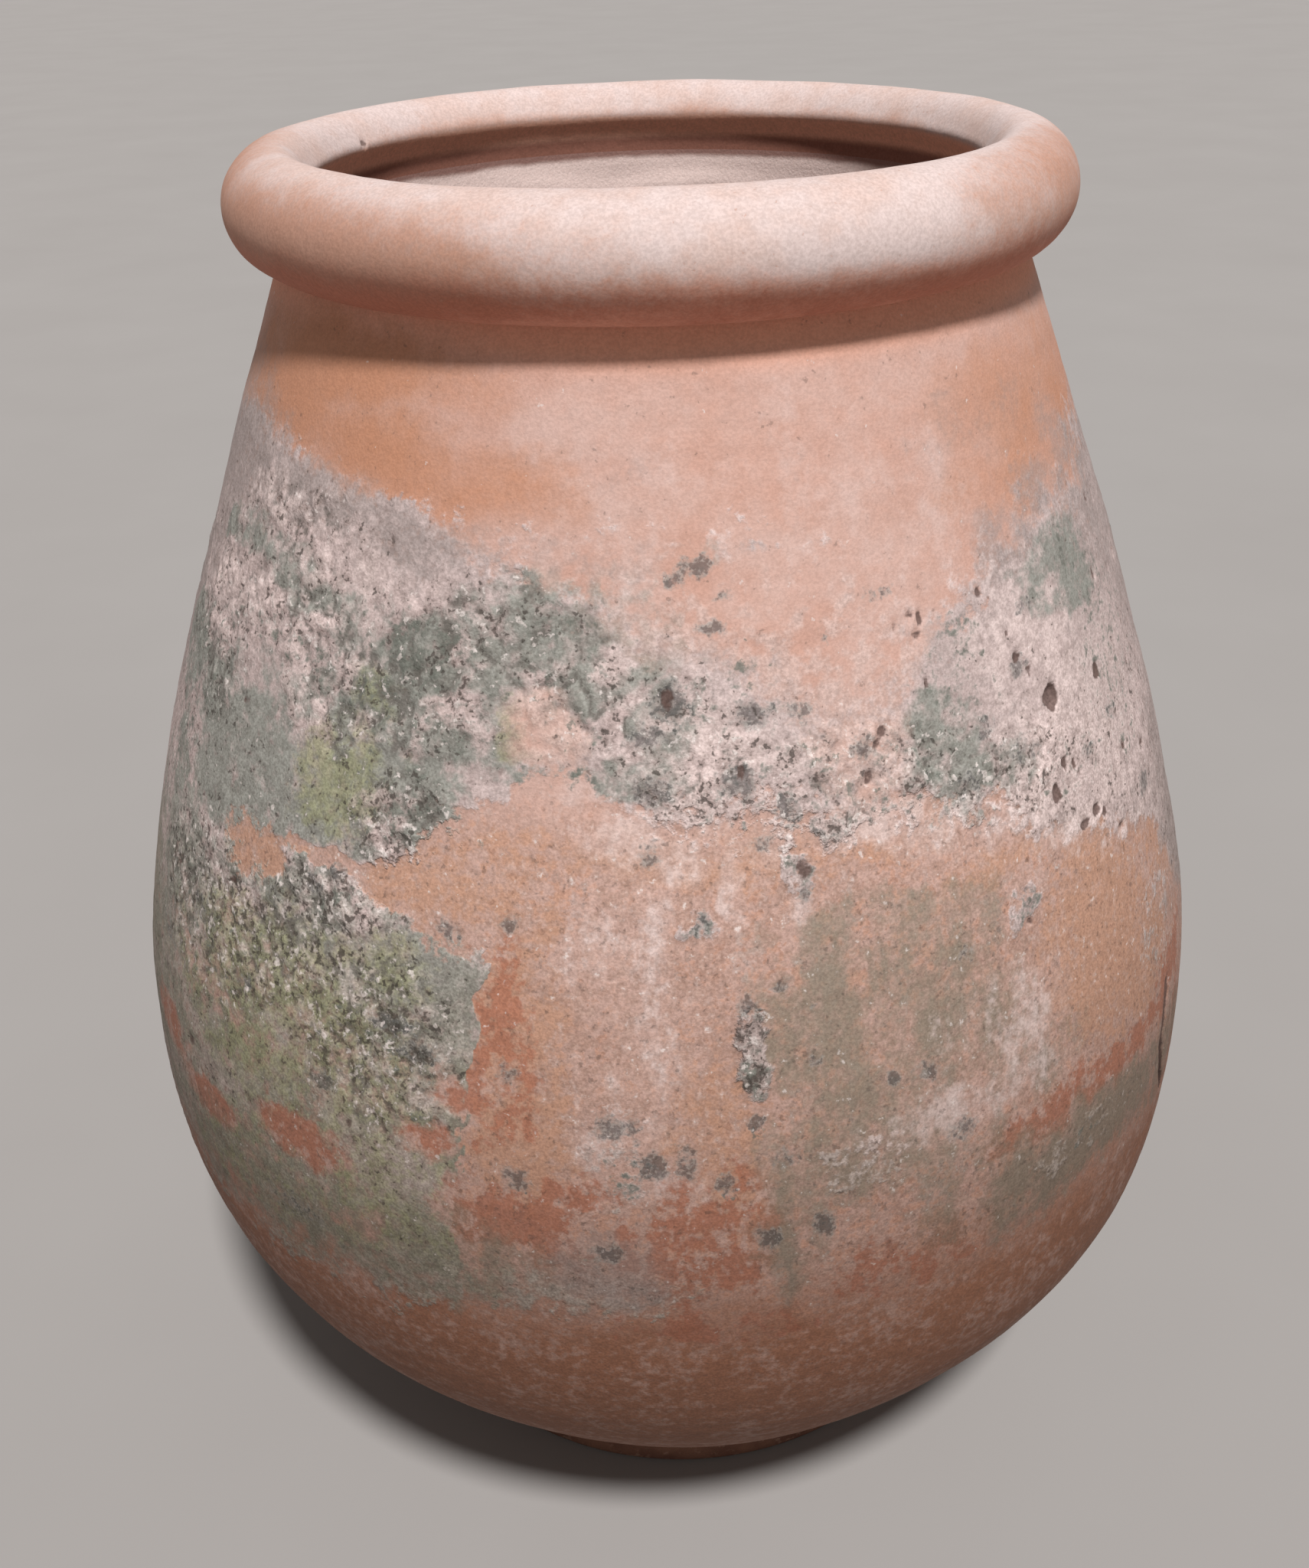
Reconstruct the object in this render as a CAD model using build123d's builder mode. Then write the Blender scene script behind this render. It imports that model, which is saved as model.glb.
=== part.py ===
import os

from build123d import *

# Olive jar, built up from clay lifts on a base disc, with a thick rolled rim.
# Millimetres, +Z up. The origin is the middle of the underside, on the jar's axis.

# Height and foot
jar_height = 600.0
foot_radius = 149.3
foot_band_height = 12.0
foot_edge_bevel = 2.0
base_thickness = 20.0
base_land_bevel = 4.0

# Belly and neck
belly_radius = 248.2
neck_radius = 150.2
flare_reach_share = 0.674
flare_rise_share = 0.166
shoulder_corner_share = 0.247

# Wall thickness, measured square to the wall
foot_wall_thickness = 24.0
neck_wall_thickness = 14.7

# Shares of an arc at which one straight pull of the inner face meets the next
belly_pull_shares = (0.67, 0.33)
shoulder_pull_shares = (0.75, 0.5, 0.25, 0)

# Coil pressed into the inner corner between base disc and wall
corner_coil_reach = 18.0

# Ridge along the top of each lift, which the next lift straddles
seam_ridge_height = 9.0
seam_ridge_share = 0.55
half_lift_share = 0.5

# Rolled rim, closed over the top of the neck. The neck is measured at rim_height below
# the top, and its taper runs on a little way up behind the roll.
rim_height = 49.0
neck_tuck_length = 7.7
rim_overhang = 15.1
rim_inside_reach = 4.0
rim_roll_round = 21.0
mouth_land_length = 6.5
neck_inside_rise_share = 0.408
neck_tenon_rise_share = 0.714

# Room that a cutting outline runs past the clay it cuts
overrun = 30.0

# Outer outline of the wall, from the foot band to the crease under the rim.
# The straight flare turns upright along one arc at the belly, and a second arc turns
# inwards to the straight taper of the neck. Both arcs are upright where they meet.
neck_height = jar_height - rim_height
wall_height = neck_height - foot_band_height
flare_radius = foot_radius + flare_reach_share * (belly_radius - foot_radius)
flare_height = foot_band_height + flare_rise_share * wall_height

with BuildLine() as wall_outline:
    flare = Line((foot_radius, foot_band_height), (flare_radius, flare_height))
    flare_reach = flare_radius - foot_radius
    flare_rise = flare_height - foot_band_height
    belly_height = flare_height + (belly_radius - flare_radius) * flare_reach / (
        flare.length - flare_rise
    )
    belly_arc = TangentArc(flare @ 1, (belly_radius, belly_height), tangent=flare % 1)
    shoulder_corner = Vector(
        belly_radius, belly_height + shoulder_corner_share * (neck_height - belly_height)
    )
    taper = Vector(neck_radius, neck_height) - shoulder_corner
    shoulder_end = shoulder_corner + taper.normalized() * (shoulder_corner.Y - belly_height)
    shoulder_arc = TangentArc(belly_arc @ 1, shoulder_end, tangent=(0, 1))
    neck_taper = Line(shoulder_arc @ 1, (neck_radius, neck_height))
    neck_tuck = Line(neck_taper @ 1, neck_taper @ 1 + (neck_taper % 1) * neck_tuck_length)


def inside_of(stretch, share):
    # The point of the inner face that lies square across the wall from the outer one
    outer = stretch @ share
    along = stretch % share
    risen_share = (outer.Y - foot_band_height) / wall_height
    thickness = foot_wall_thickness + (neck_wall_thickness - foot_wall_thickness) * risen_share
    return outer - Vector(along.Y, -along.X) * thickness


# Where the inner face comes down to the base disc
flare_direction = flare % 0
inner_start = inside_of(flare, 0)
base_inner_radius = (
    inner_start.X - (inner_start.Y - base_thickness) * flare_direction.X / flare_direction.Y
)

# The neck rises straight inside and ends in a tenon that the rolled rim closes over
neck_inner_radius = neck_radius - neck_wall_thickness
neck_inside_top = neck_height + neck_inside_rise_share * rim_height
tenon_radius = (neck_radius + neck_inner_radius) / 2
neck_tenon_top = neck_height + neck_tenon_rise_share * rim_height
rim_crease = neck_tuck @ 1
rim_seam = [
    rim_crease,
    (tenon_radius, neck_tenon_top),
    (neck_inner_radius, neck_inside_top),
]

# Whole wall, before it is divided into lifts: the inner face is drawn in short straight pulls
with BuildSketch(Plane.XZ) as wall_section:
    with BuildLine():
        add(wall_outline.line)
        Polyline(
            *rim_seam,
            inside_of(neck_taper, 1),
            inside_of(neck_taper, 0),
            *[inside_of(shoulder_arc, share) for share in shoulder_pull_shares],
            *[inside_of(belly_arc, share) for share in belly_pull_shares],
            inside_of(flare, 1),
            (base_inner_radius, base_thickness),
            (base_inner_radius + base_land_bevel, foot_band_height),
            (foot_radius, foot_band_height),
        )
    make_face()

os.makedirs("parts", exist_ok=True)

# Base disc: its edge shows as the foot band, and its raised middle centres the wall
with BuildPart() as base_disc:
    with BuildSketch(Plane.XZ):
        with BuildLine():
            Polyline(
                (0, 0),
                (foot_radius - foot_edge_bevel, 0),
                (foot_radius, foot_edge_bevel),
                (foot_radius, foot_band_height),
                (base_inner_radius + base_land_bevel, foot_band_height),
                (base_inner_radius, base_thickness),
                (0, base_thickness),
                close=True,
            )
        make_face()
    revolve(axis=Axis.Z)
base_disc.part.label = "base_disc"
export_step(base_disc.part, "parts/base_disc.step")

# Corner coil: pressed into the angle between disc and wall, and smoothed to a bevel
coil_corner = Vector(base_inner_radius, base_thickness)
with BuildPart() as corner_coil:
    with BuildSketch(Plane.XZ):
        with BuildLine():
            Polyline(
                coil_corner - Vector(corner_coil_reach, 0),
                coil_corner,
                coil_corner + flare_direction * corner_coil_reach,
                close=True,
            )
        make_face()
    revolve(axis=Axis.Z)
corner_coil.part.label = "corner_coil"
export_step(corner_coil.part, "parts/corner_coil.step")


def seam_at(stretch, share):
    # A ridge in the middle of the wall, whose two slopes are drawn past both faces
    inner = inside_of(stretch, share)
    outer = stretch @ share
    across = outer - inner
    reach = across.length + overrun
    ridge = inner + across * seam_ridge_share + (stretch % share) * seam_ridge_height
    return [
        ridge + (inner - ridge).normalized() * reach,
        ridge,
        ridge + (outer - ridge).normalized() * reach,
    ]


# Lifts: the wall between one seam and the next, each turned as a ring
beyond_wall = belly_radius + overrun
seams = [
    [(-overrun, -overrun), (beyond_wall, -overrun)],
    seam_at(flare, 1),
    seam_at(belly_arc, 1),
    seam_at(shoulder_arc, half_lift_share),
    seam_at(shoulder_arc, 1),
    seam_at(neck_taper, half_lift_share),
    [(-overrun, jar_height + overrun), (beyond_wall, jar_height + overrun)],
]
lift_names = (
    "foot_wall",
    "belly_wall",
    "shoulder_wall",
    "upper_wall",
    "collar_wall",
    "neck_wall",
)

for lift_name, lower_seam, upper_seam in zip(lift_names, seams, seams[1:]):
    with BuildSketch(Plane.XZ) as lift_section:
        add(wall_section.sketch_local)
        with BuildLine():
            Polyline(*lower_seam, *reversed(upper_seam), close=True)
        make_face(mode=Mode.INTERSECT)
    with BuildPart() as lift:
        revolve(lift_section.sketch, axis=Axis.Z)
    lift.part.label = lift_name
    export_step(lift.part, f"parts/{lift_name}.step")

# Rolled rim: a fat round coil, closed over the neck's tenon. From its widest point one
# round turns under to the crease and one turns up to the crown, and a smaller one goes
# down from the crown into the mouth.
rim_radius = neck_radius + rim_overhang
rim_widest_height = jar_height - rim_roll_round
crown_radius = rim_radius - rim_roll_round
mouth_radius = neck_inner_radius - rim_inside_reach
mouth_land_top = jar_height - (crown_radius - mouth_radius)
with BuildPart() as rolled_rim:
    with BuildSketch(Plane.XZ):
        with BuildLine():
            TangentArc((rim_radius, rim_widest_height), rim_crease, tangent=(0, -1))
            TangentArc(
                (rim_radius, rim_widest_height), (crown_radius, jar_height), tangent=(0, 1)
            )
            TangentArc(
                (mouth_radius, mouth_land_top), (crown_radius, jar_height), tangent=(0, 1)
            )
            Polyline(
                (mouth_radius, mouth_land_top),
                (mouth_radius, mouth_land_top - mouth_land_length),
                *reversed(rim_seam),
            )
        make_face()
    revolve(axis=Axis.Z)
rolled_rim.part.label = "rolled_rim"
export_step(rolled_rim.part, "parts/rolled_rim.step")
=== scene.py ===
import math
from types import SimpleNamespace

import bpy
import numpy as np
from mathutils import Matrix


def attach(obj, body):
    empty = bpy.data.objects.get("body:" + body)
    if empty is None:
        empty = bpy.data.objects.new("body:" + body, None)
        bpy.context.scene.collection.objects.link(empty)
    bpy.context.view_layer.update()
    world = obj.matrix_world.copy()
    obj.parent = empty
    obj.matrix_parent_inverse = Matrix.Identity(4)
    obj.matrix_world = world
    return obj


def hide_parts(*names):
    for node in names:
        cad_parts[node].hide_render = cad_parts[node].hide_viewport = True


# A tall hand-built clay jar that has stood outdoors: smooth shoulder, rolled rim, and a belly crusted with lime
# and lichen that has flaked off in places. Lengths are millimetres until a mesh is made.
# Angles go round the jar in degrees: 0 faces the viewer, and 90 is to the viewer's right.

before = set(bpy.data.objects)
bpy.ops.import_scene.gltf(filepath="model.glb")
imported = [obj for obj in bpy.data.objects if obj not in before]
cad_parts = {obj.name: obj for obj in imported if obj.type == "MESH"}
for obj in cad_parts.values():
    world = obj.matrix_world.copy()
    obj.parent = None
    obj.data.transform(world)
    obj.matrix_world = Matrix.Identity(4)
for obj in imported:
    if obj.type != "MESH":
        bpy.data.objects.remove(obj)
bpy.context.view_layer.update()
print("frame loaded:", len(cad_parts), "nodes")

metresPerMillimetre = 0.001


# Repeatable noise, worked out for whole arrays at once

def cornerCount(i, j, k, seed):
    # one large whole number for each lattice corner: its three counts times big primes, folded over twice
    mixed = (i * 374761393 + j * 668265263 + k * 1103515245 + seed * 974634777) & 0xFFFFFFFF
    mixed = ((mixed ^ (mixed >> 13)) * 1274126177) & 0xFFFFFFFF
    return mixed ^ (mixed >> 16)


def tenBits(count, shift):
    # ten bits of a corner's number, as a value from 0 to 1
    return ((count >> shift) & 1023).astype(np.float32) / 1023


def slopeNoise(points, size, seed):
    # from about -1 to 1: each lattice corner holds a random slope, and a point blends its eight corners' planes
    scaled = [axis / size for axis in points]
    cell = [np.floor(axis).astype(np.int64) for axis in scaled]
    part = [(axis - whole).astype(np.float32) for axis, whole in zip(scaled, cell)]
    ease = [p * p * p * (p * (p * 6 - 15) + 10) for p in part]
    total = np.zeros(part[0].shape, np.float32)
    for corner in range(8):
        step = (corner & 1, corner >> 1 & 1, corner >> 2)
        count = cornerCount(cell[0] + step[0], cell[1] + step[1], cell[2] + step[2], seed)
        plane = sum((tenBits(count, 10 * a) * 2 - 1) * (part[a] - step[a]) for a in range(3))
        for a in range(3):
            plane = plane * (ease[a] if step[a] else 1 - ease[a])
        total += plane
    return total * 1.7


def layeredNoise(points, size, layers, seed):
    # the sum of noises of half the size and half the strength each time
    strengths = [0.5 ** n for n in range(layers)]
    total = sum(s * slopeNoise(points, size * s, seed + n) for n, s in enumerate(strengths))
    return total / sum(strengths) * 1.25


def spotDistance(points, size, smallest, largest, seed):
    # each lattice cell holds a centre with a radius: the least distance to a centre, over that centre's radius
    scaled = [axis / size for axis in points]
    cell = [np.floor(axis).astype(np.int64) for axis in scaled]
    nearest = np.full(scaled[0].shape, 9.0, np.float32)
    for step in np.ndindex(3, 3, 3):
        there = [cell[a] + (step[a] - 1) for a in range(3)]
        count = cornerCount(*there, seed)
        far = sum((scaled[a] - there[a] - 0.15 - 0.7 * tenBits(count, 10 * a)) ** 2 for a in range(3))
        share = tenBits(cornerCount(*there, seed + 1), 3)
        nearest = np.minimum(nearest, np.sqrt(far) / (smallest + (largest - smallest) * share ** 3))
    return nearest


def rampUp(value, low, high):
    # 0 below low, 1 above high, with a smooth rise between
    t = np.clip((value - low) / (high - low), 0, 1)
    return t * t * (3 - 2 * t)


def angleGap(angle, centre):
    # the shorter way round from centre to angle, in degrees
    return (angle - centre + 180) % 360 - 180


def aroundLine(angle, stations):
    # a line through (angle, value, ...) stations that closes on itself behind the jar, one array for each value
    turn = (angle + 180) % 360 - 180
    angles, *values = np.array(stations, float).T
    return [np.interp(turn, angles, value, period=360) for value in values]


def patchField(angle, height, patches):
    # the most that any patch gives: one less the squared distance in half widths and heights, times its weight
    best = np.full(np.broadcast(angle, height).shape, -3.0, np.float32)
    for centre, middle, halfAngle, halfHeight, weight in patches:
        inside = 1 - (angleGap(angle, centre) / halfAngle) ** 2 - ((height - middle) / halfHeight) ** 2
        best = np.maximum(best, np.where(inside > 0, inside * weight, np.maximum(inside, -3)))
    return best


# Curves of the jar's section

def splineThrough(knots, values, where):
    # cubic pieces through the values at the knots, whose slopes and bends meet, straight at both ends
    knots, values = np.array(knots, float), np.array(values, float)
    gap = np.diff(knots)
    count = len(knots)
    table = np.eye(count)
    right = np.zeros(count)
    inner = np.arange(1, count - 1)
    table[inner, inner - 1] = gap[:-1]
    table[inner, inner] = 2 * (gap[:-1] + gap[1:])
    table[inner, inner + 1] = gap[1:]
    right[1:-1] = 6 * np.diff(np.diff(values) / gap)
    bend = np.linalg.solve(table, right)
    n = np.clip(np.searchsorted(knots, where) - 1, 0, count - 2)
    a, b, h = knots[n + 1] - where, where - knots[n], gap[n]
    cubic = (bend[n] * a ** 3 + bend[n + 1] * b ** 3) / (6 * h)
    return cubic + (values[n] / h - bend[n] * h / 6) * a + (values[n + 1] / h - bend[n + 1] * h / 6) * b


def evenRows(radii, heights, step):
    # the same curve cut into equal lengths of about one step, ends kept
    along = np.concatenate([[0], np.cumsum(np.hypot(np.diff(radii), np.diff(heights)))])
    cuts = np.linspace(0, along[-1], max(2, round(along[-1] / step) + 1))
    return np.interp(cuts, along, radii), np.interp(cuts, along, heights)


wallShape = {
    "aroundSteps": 1152,
    # the rows' spacing in each lift, from the foot up
    "rowSteps": (1.9, 1.55, 1.4, 1.4, 1.46, 1.8),
    "insideRowStep": 3.4,
    "outerStations": (
        (12, 149.3), (60, 185.4), (101.5, 215.7), (140, 236.6), (198.7, 248.0), (240, 247.5), (284.4, 241.3),
        (330, 229.6), (367.4, 218.9), (420, 200.6), (459.2, 185.9), (500, 170.3), (558.2, 147.5),
    ),
    "innerStations": (
        (12, 119.5), (34.4, 136.1), (75, 171.0), (114.9, 198.0), (140.1, 213.5), (169.1, 223.7),
        (198.7, 227.4), (239.9, 226.3), (281, 221.6), (321.5, 213.2), (361.2, 201.3), (453.5, 168.8),
        (520, 145.6), (546, 136.9), (571, 135.5),
    ),
    # (outer height, ridge radius and height, inner height) of the seams, from the foot up
    "seams": (
        (101.5, 213.2, 114.7, 114.9), (198.7, 238.8, 207.7, 198.7), (284.4, 230.5, 291.7, 281.0),
        (367.4, 207.4, 373.0, 361.2), (459.2, 174.1, 465.1, 453.5),
    ),
    # (radius, height) of the top of the neck inside the rim, and the height where its inner face stops
    "tenon": (142.8, 586.0),
    "neckInsideTop": 571.0,
    # (radius, height) of the disc's two corners under the wall, and of the ends of the coil above them
    "discShoulder": (129.3, 12.0),
    "discCorner": (125.3, 20.0),
    "coilTop": (136.1, 34.4),
    "coilFoot": (107.3, 20.0),
    # how far the rim, wall and foot sit to the viewer's right of the axis at a height
    "lean": (
        (0, 2.4), (60, 2.2), (100, 1.4), (150, 1.2), (200, -0.3), (260, -0.4), (330, -1.0), (400, -0.6),
        (450, 0.3), (500, 0.2), (551, 0.6), (575, 0.5), (600, 0.4),
    ),
}

handWork = {
    "slowWave": 0.9,
    "swells": 0.55,
    "wipeMarks": 0.22,
    "insideFingerMarks": 0.75,
    "fingerSpacing": 21.0,
    "insideLumps": 0.5,
    # between these heights the finger marks grow from nothing at the coil, and die away under the rim
    "marksGrow": (30, 44),
    "marksFade": (556, 571),
    "grain": 0.07,
}

# Where the weather has worked. Lines are (angle, height, softness in millimetres); patches are (angle, height,
# half width in degrees, half height, weight); pits are (angle, height, half width, half height, depth).
weather = {
    "crustTop": (
        (-180, 488, 16), (-160, 497, 16), (-140, 480, 14), (-118, 498, 14), (-98, 510, 12), (-80, 512, 9),
        (-66, 515, 7), (-55, 513, 6), (-48, 507, 6), (-38, 503, 6), (-30, 503, 6), (-25, 498, 8),
        (-20, 492, 11), (-10, 490, 15), (0, 488, 19), (10, 485, 24), (16, 476, 28), (22, 467, 28),
        (28, 463, 22), (34, 464, 16), (38, 470, 14), (42, 481, 14), (48, 486, 14), (56, 484, 14), (62, 486, 18),
        (70, 498, 18), (82, 504, 18), (100, 476, 16), (122, 486, 14), (150, 502, 14), (180, 488, 16),
    ),
    "crustLow": (
        (-180, 300, 12), (-158, 262, 16), (-140, 318, 10), (-118, 250, 16), (-100, 216, 24), (-80, 208, 26),
        (-50, 204, 26), (-28, 206, 22), (-19.5, 210, 12), (-18.4, 262, 6), (-18.6, 312, 5), (-17.6, 330, 5),
        (-17, 352, 6), (-16.4, 405, 6), (-14, 421, 7), (-9, 419, 8), (-4, 409, 10), (0, 405, 14), (6, 405, 15),
        (12, 403, 14), (20, 400, 14), (28, 396, 14), (34, 387, 12), (40, 377, 9), (46, 367, 7), (52, 357, 8),
        (60, 346, 9), (64, 334, 14), (68, 304, 20), (75, 262, 22), (86, 262, 20), (100, 330, 14),
        (120, 322, 12), (145, 352, 12), (165, 322, 12), (180, 300, 12),
    ),
    "thinCrust": (
        (12, 472, 20, 20, 0.8), (19, 452, 10, 24, 0.6), (-6, 484, 9, 12, 0.6), (-12, 437, 5, 12, 0.7),
        (20, 425, 6, 16, 0.3), (-45, 300, 32, 50, 0.42), (-40, 240, 30, 34, 0.45), (160, 470, 20, 30, 0.8),
        (-172, 400, 16, 18, 0.8), (-130, 290, 24, 40, 0.5), (128, 340, 20, 24, 0.5),
    ),
    "islands": (
        (-11, 226, 12, 14, 0.5), (7.4, 325, 2.1, 17, 1.4), (42, 243, 7, 9, 0.15), (-5, 290, 3, 20, 0.08),
        (36.4, 350, 2.2, 9, 0.7), (12.8, 388, 1.6, 8, 0.8), (3, 374, 1.2, 6, 0.7), (17, 278, 5, 10, 0.2),
        (-9, 240, 4, 6, 0.15), (60, 300, 6, 20, 0.2), (100, 290, 10, 24, 0.5), (-172, 270, 10, 16, 0.5),
        (140, 270, 12, 14, 0.4),
    ),
    "scabs": (
        (-20, 380, 5.6, 24, 1.0), (-25, 377, 6.4, 9, 1.0), (-34, 379, 8, 3.6, 0.6), (-46, 371, 5, 13, 0.6),
        (-18, 398, 3, 14, 0.8), (-51, 249, 6, 9, 0.9), (-36, 265, 6, 11, 0.9), (-22, 286, 2.8, 8, 0.7),
        (-19.6, 305, 2, 8, 0.7), (-61, 262, 6, 12, 0.7), (-18.5, 262, 3.4, 14, 0.6), (-29, 238, 3, 8, 0.5),
        (-110, 320, 9, 24, 0.9), (-132, 420, 8, 20, 0.9), (150, 430, 12, 22, 0.9), (110, 405, 7, 16, 0.8),
        (-150, 345, 12, 20, 0.9),
    ),
    "rugged": (
        (-30, 440, 15, 22, 1.0), (-48, 486, 16, 13, 0.5), (-44, 462, 12, 20, 0.9), (-20, 466, 13, 18, 0.8),
        (-26, 398, 7, 18, 0.9), (-34, 366, 9, 12, 0.9), (-8, 448, 12, 22, 0.6), (4, 428, 8, 22, 0.6),
        (-48, 335, 18, 34, 0.6), (-28, 318, 10, 40, 0.6), (-62, 440, 12, 40, 0.6), (38, 400, 9, 16, 0.4),
        (7.2, 325, 2.4, 16, 1.0), (18, 414, 16, 18, 0.7), (-100, 430, 18, 40, 0.9), (100, 430, 16, 34, 0.7),
        (170, 420, 20, 36, 0.8), (-150, 420, 18, 30, 0.7),
    ),
    "lichen": (
        (-28.5, 457, 8, 14, 1.0), (-25, 461, 6, 10, 0.7), (-31, 443, 8, 13, 0.8), (-9, 467, 11, 16, 0.28),
        (-13, 453, 7, 9, 0.25), (-27, 414, 7, 18, 0.8), (-9, 421, 5, 6, 0.8), (-21, 398, 5, 9, 0.8),
        (-44, 469, 10, 8, 0.7), (-56, 474, 8, 8, 0.4), (-51, 408, 15, 22, 1.2), (-42, 396, 14, 16, 1.0),
        (-66, 415, 10, 20, 0.8), (-40, 436, 9, 8, 0.7), (-22, 432, 8, 12, 0.9), (-38, 366, 12, 12, 0.7),
        (-22, 340, 6, 34, 0.9), (-55, 385, 10, 16, 0.9), (-19, 300, 4, 40, 0.8), (52, 460, 7, 14, 0.6),
        (57, 448, 4, 8, 0.4), (29, 417, 4.6, 17, 0.55), (37, 402, 4, 8, 0.5), (33, 398, 6, 7, 0.4),
        (-62, 335, 14, 44, 0.6), (-32, 325, 16, 38, 0.7), (-70, 290, 14, 50, 0.7), (-45, 290, 14, 30, 0.7),
        (-38, 236, 22, 26, 0.8), (-20, 240, 6, 26, 0.8), (0.5, 446, 1.8, 7, 0.8), (4, 487, 3, 4, 0.7),
        (1, 440, 3, 7, 0.2), (-2, 424, 4, 9, 0.3), (-100, 440, 16, 30, 0.9), (-128, 470, 12, 14, 0.8),
        (-95, 330, 14, 60, 0.8), (95, 440, 10, 18, 0.8), (130, 400, 14, 24, 0.8), (172, 430, 12, 26, 0.9),
        (-160, 400, 14, 20, 0.8), (120, 455, 9, 10, 0.8), (165, 350, 16, 18, 0.8), (-4, 250, 4, 8, 0.5),
    ),
    "darkSpecks": (
        (-27, 457, 9, 15, 1.0), (-31, 438, 10, 12, 0.9), (-36, 440, 7, 9, 0.6), (-27, 405, 6, 18, 0.9),
        (-8, 462, 8, 12, 0.4), (1, 446, 3, 12, 0.8), (8, 448, 5, 20, 0.4), (-34, 366, 8, 9, 0.7),
        (-55, 330, 12, 26, 0.4), (-27, 318, 7, 26, 0.4), (7.4, 325, 2.2, 19, 1.0), (13, 388, 1.3, 8, 1.0),
        (3, 374, 1, 6, 0.7), (36.4, 350, 1.8, 8, 0.8), (7.4, 296, 1.2, 5, 0.6), (-10, 421, 4, 5, 0.5),
        (-66, 400, 5, 40, 0.5), (42, 243, 3, 7, 0.8), (-22, 434, 6, 9, 0.7), (-44, 448, 9, 9, 0.5),
        (-58, 420, 6, 30, 0.4), (48, 388, 6, 12, 0.35), (60, 420, 8, 40, 0.3), (17, 414, 16, 16, 0.5),
        (31, 438, 6, 20, 0.45), (-12, 440, 6, 14, 0.4), (4, 272, 1, 8, 0.7), (12, 256, 1.4, 9, 0.6),
        (8, 244, 1.2, 8, 0.6), (-5, 284, 2.4, 12, 0.5), (-14, 274, 1, 5, 0.5), (53, 462, 3, 9, 0.4),
        (-102, 452, 10, 20, 0.8), (104, 425, 9, 16, 0.7), (168, 440, 9, 16, 0.8), (-160, 424, 8, 12, 0.7),
    ),
    "moss": (
        (-34, 408, 6.5, 22, 1.0), (-31, 442, 3.6, 10, 0.8), (-14, 437, 4, 10, 0.8), (-47, 325, 8, 30, 0.8),
        (-34, 322, 9, 36, 0.8), (-30, 298, 8, 20, 0.6), (-43, 290, 8, 20, 0.7), (-26, 350, 5, 12, 0.7),
        (-40, 314, 18, 44, 0.6), (-25, 250, 7, 20, 0.35), (-30, 268, 14, 18, 0.35), (-44, 236, 12, 18, 0.1),
        (-88, 300, 10, 26, 0.7), (-105, 270, 9, 20, 0.7), (-140, 350, 9, 16, 0.7), (128, 380, 9, 14, 0.7),
    ),
    "orange": (
        (-14, 338, 5, 28, 0.9), (-16, 380, 6, 16, 0.4), (-13, 296, 5, 30, 0.8), (-24, 378, 8, 14, 0.8),
        (-45, 371, 8, 16, 0.7), (47, 322, 9, 44, 1.2), (55, 298, 8, 24, 0.9), (8, 396, 26, 10, 0.35),
        (4, 290, 4, 40, 0.5), (70, 330, 12, 26, 0.6), (-110, 320, 11, 28, 0.8), (150, 430, 14, 24, 0.8),
        (112, 300, 16, 30, 0.8), (-150, 340, 16, 26, 0.8), (160, 290, 12, 26, 0.7), (36, 372, 9, 8, 0.4),
    ),
    "rust": (
        (-13, 260, 6, 17, 1.3), (-8, 274, 4, 12, 0.8), (-20, 305, 2.6, 9, 0.9), (-22, 287, 3, 9, 0.9),
        (0, 250, 6, 30, 0.7), (5, 258, 3.4, 30, 0.8), (-36, 265, 7, 13, 1.0), (-51, 249, 8, 12, 1.0),
        (-60, 262, 7, 13, 0.8), (-23, 268, 4, 12, 0.4), (48, 265, 14, 11, 0.9), (36, 262, 7, 8, 0.8),
        (62, 275, 7, 14, 0.7), (-9, 242, 4, 14, 0.7), (-15, 330, 3.6, 40, 0.55), (3, 208, 9, 9, 0.5),
        (22, 228, 8, 14, 0.4), (-108, 300, 6, 12, 0.8), (112, 280, 12, 14, 0.8), (155, 262, 12, 12, 0.7),
        (-150, 320, 10, 10, 0.8), (66, 232, 5, 30, 0.5),
    ),
    "olive": (
        (15, 330, 7, 36, 0.8), (23, 345, 10, 24, 0.7), (17, 290, 7, 32, 0.9), (28, 316, 7, 26, 0.8),
        (10, 262, 3.4, 34, 0.6), (43, 240, 18, 19, 1.4), (58, 235, 12, 18, 0.8), (34, 232, 7, 14, 0.6),
        (-24, 234, 12, 24, 0.9), (-38, 228, 12, 20, 0.9), (-54, 228, 10, 20, 0.7), (27, 262, 4, 16, 0.6),
        (33, 292, 9, 18, 0.4), (20, 366, 12, 9, 0.35), (-96, 230, 14, 22, 0.8), (128, 300, 12, 26, 0.7),
        (-165, 290, 14, 22, 0.7), (85, 300, 10, 36, 0.7), (170, 250, 12, 18, 0.7),
    ),
    "tanStain": (
        (-60, 521, 22, 27, 1.0), (-46, 543, 26, 18, 1.0), (-38, 514, 17, 20, 0.9), (-20, 508, 12, 16, 0.45),
        (64, 512, 22, 28, 0.55), (46, 520, 12, 20, 0.5), (-94, 530, 16, 20, 0.6), (120, 520, 20, 20, 0.7),
        (-150, 515, 20, 20, 0.7), (45, 494, 10, 12, 0.35), (178, 528, 20, 14, 0.5),
    ),
    "limeFilm": (
        (15.5, 506, 2.6, 36, 0.8), (27, 492, 12, 34, 0.3), (3, 424, 9, 24, 0.55), (11, 402, 4, 12, 0.7),
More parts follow.
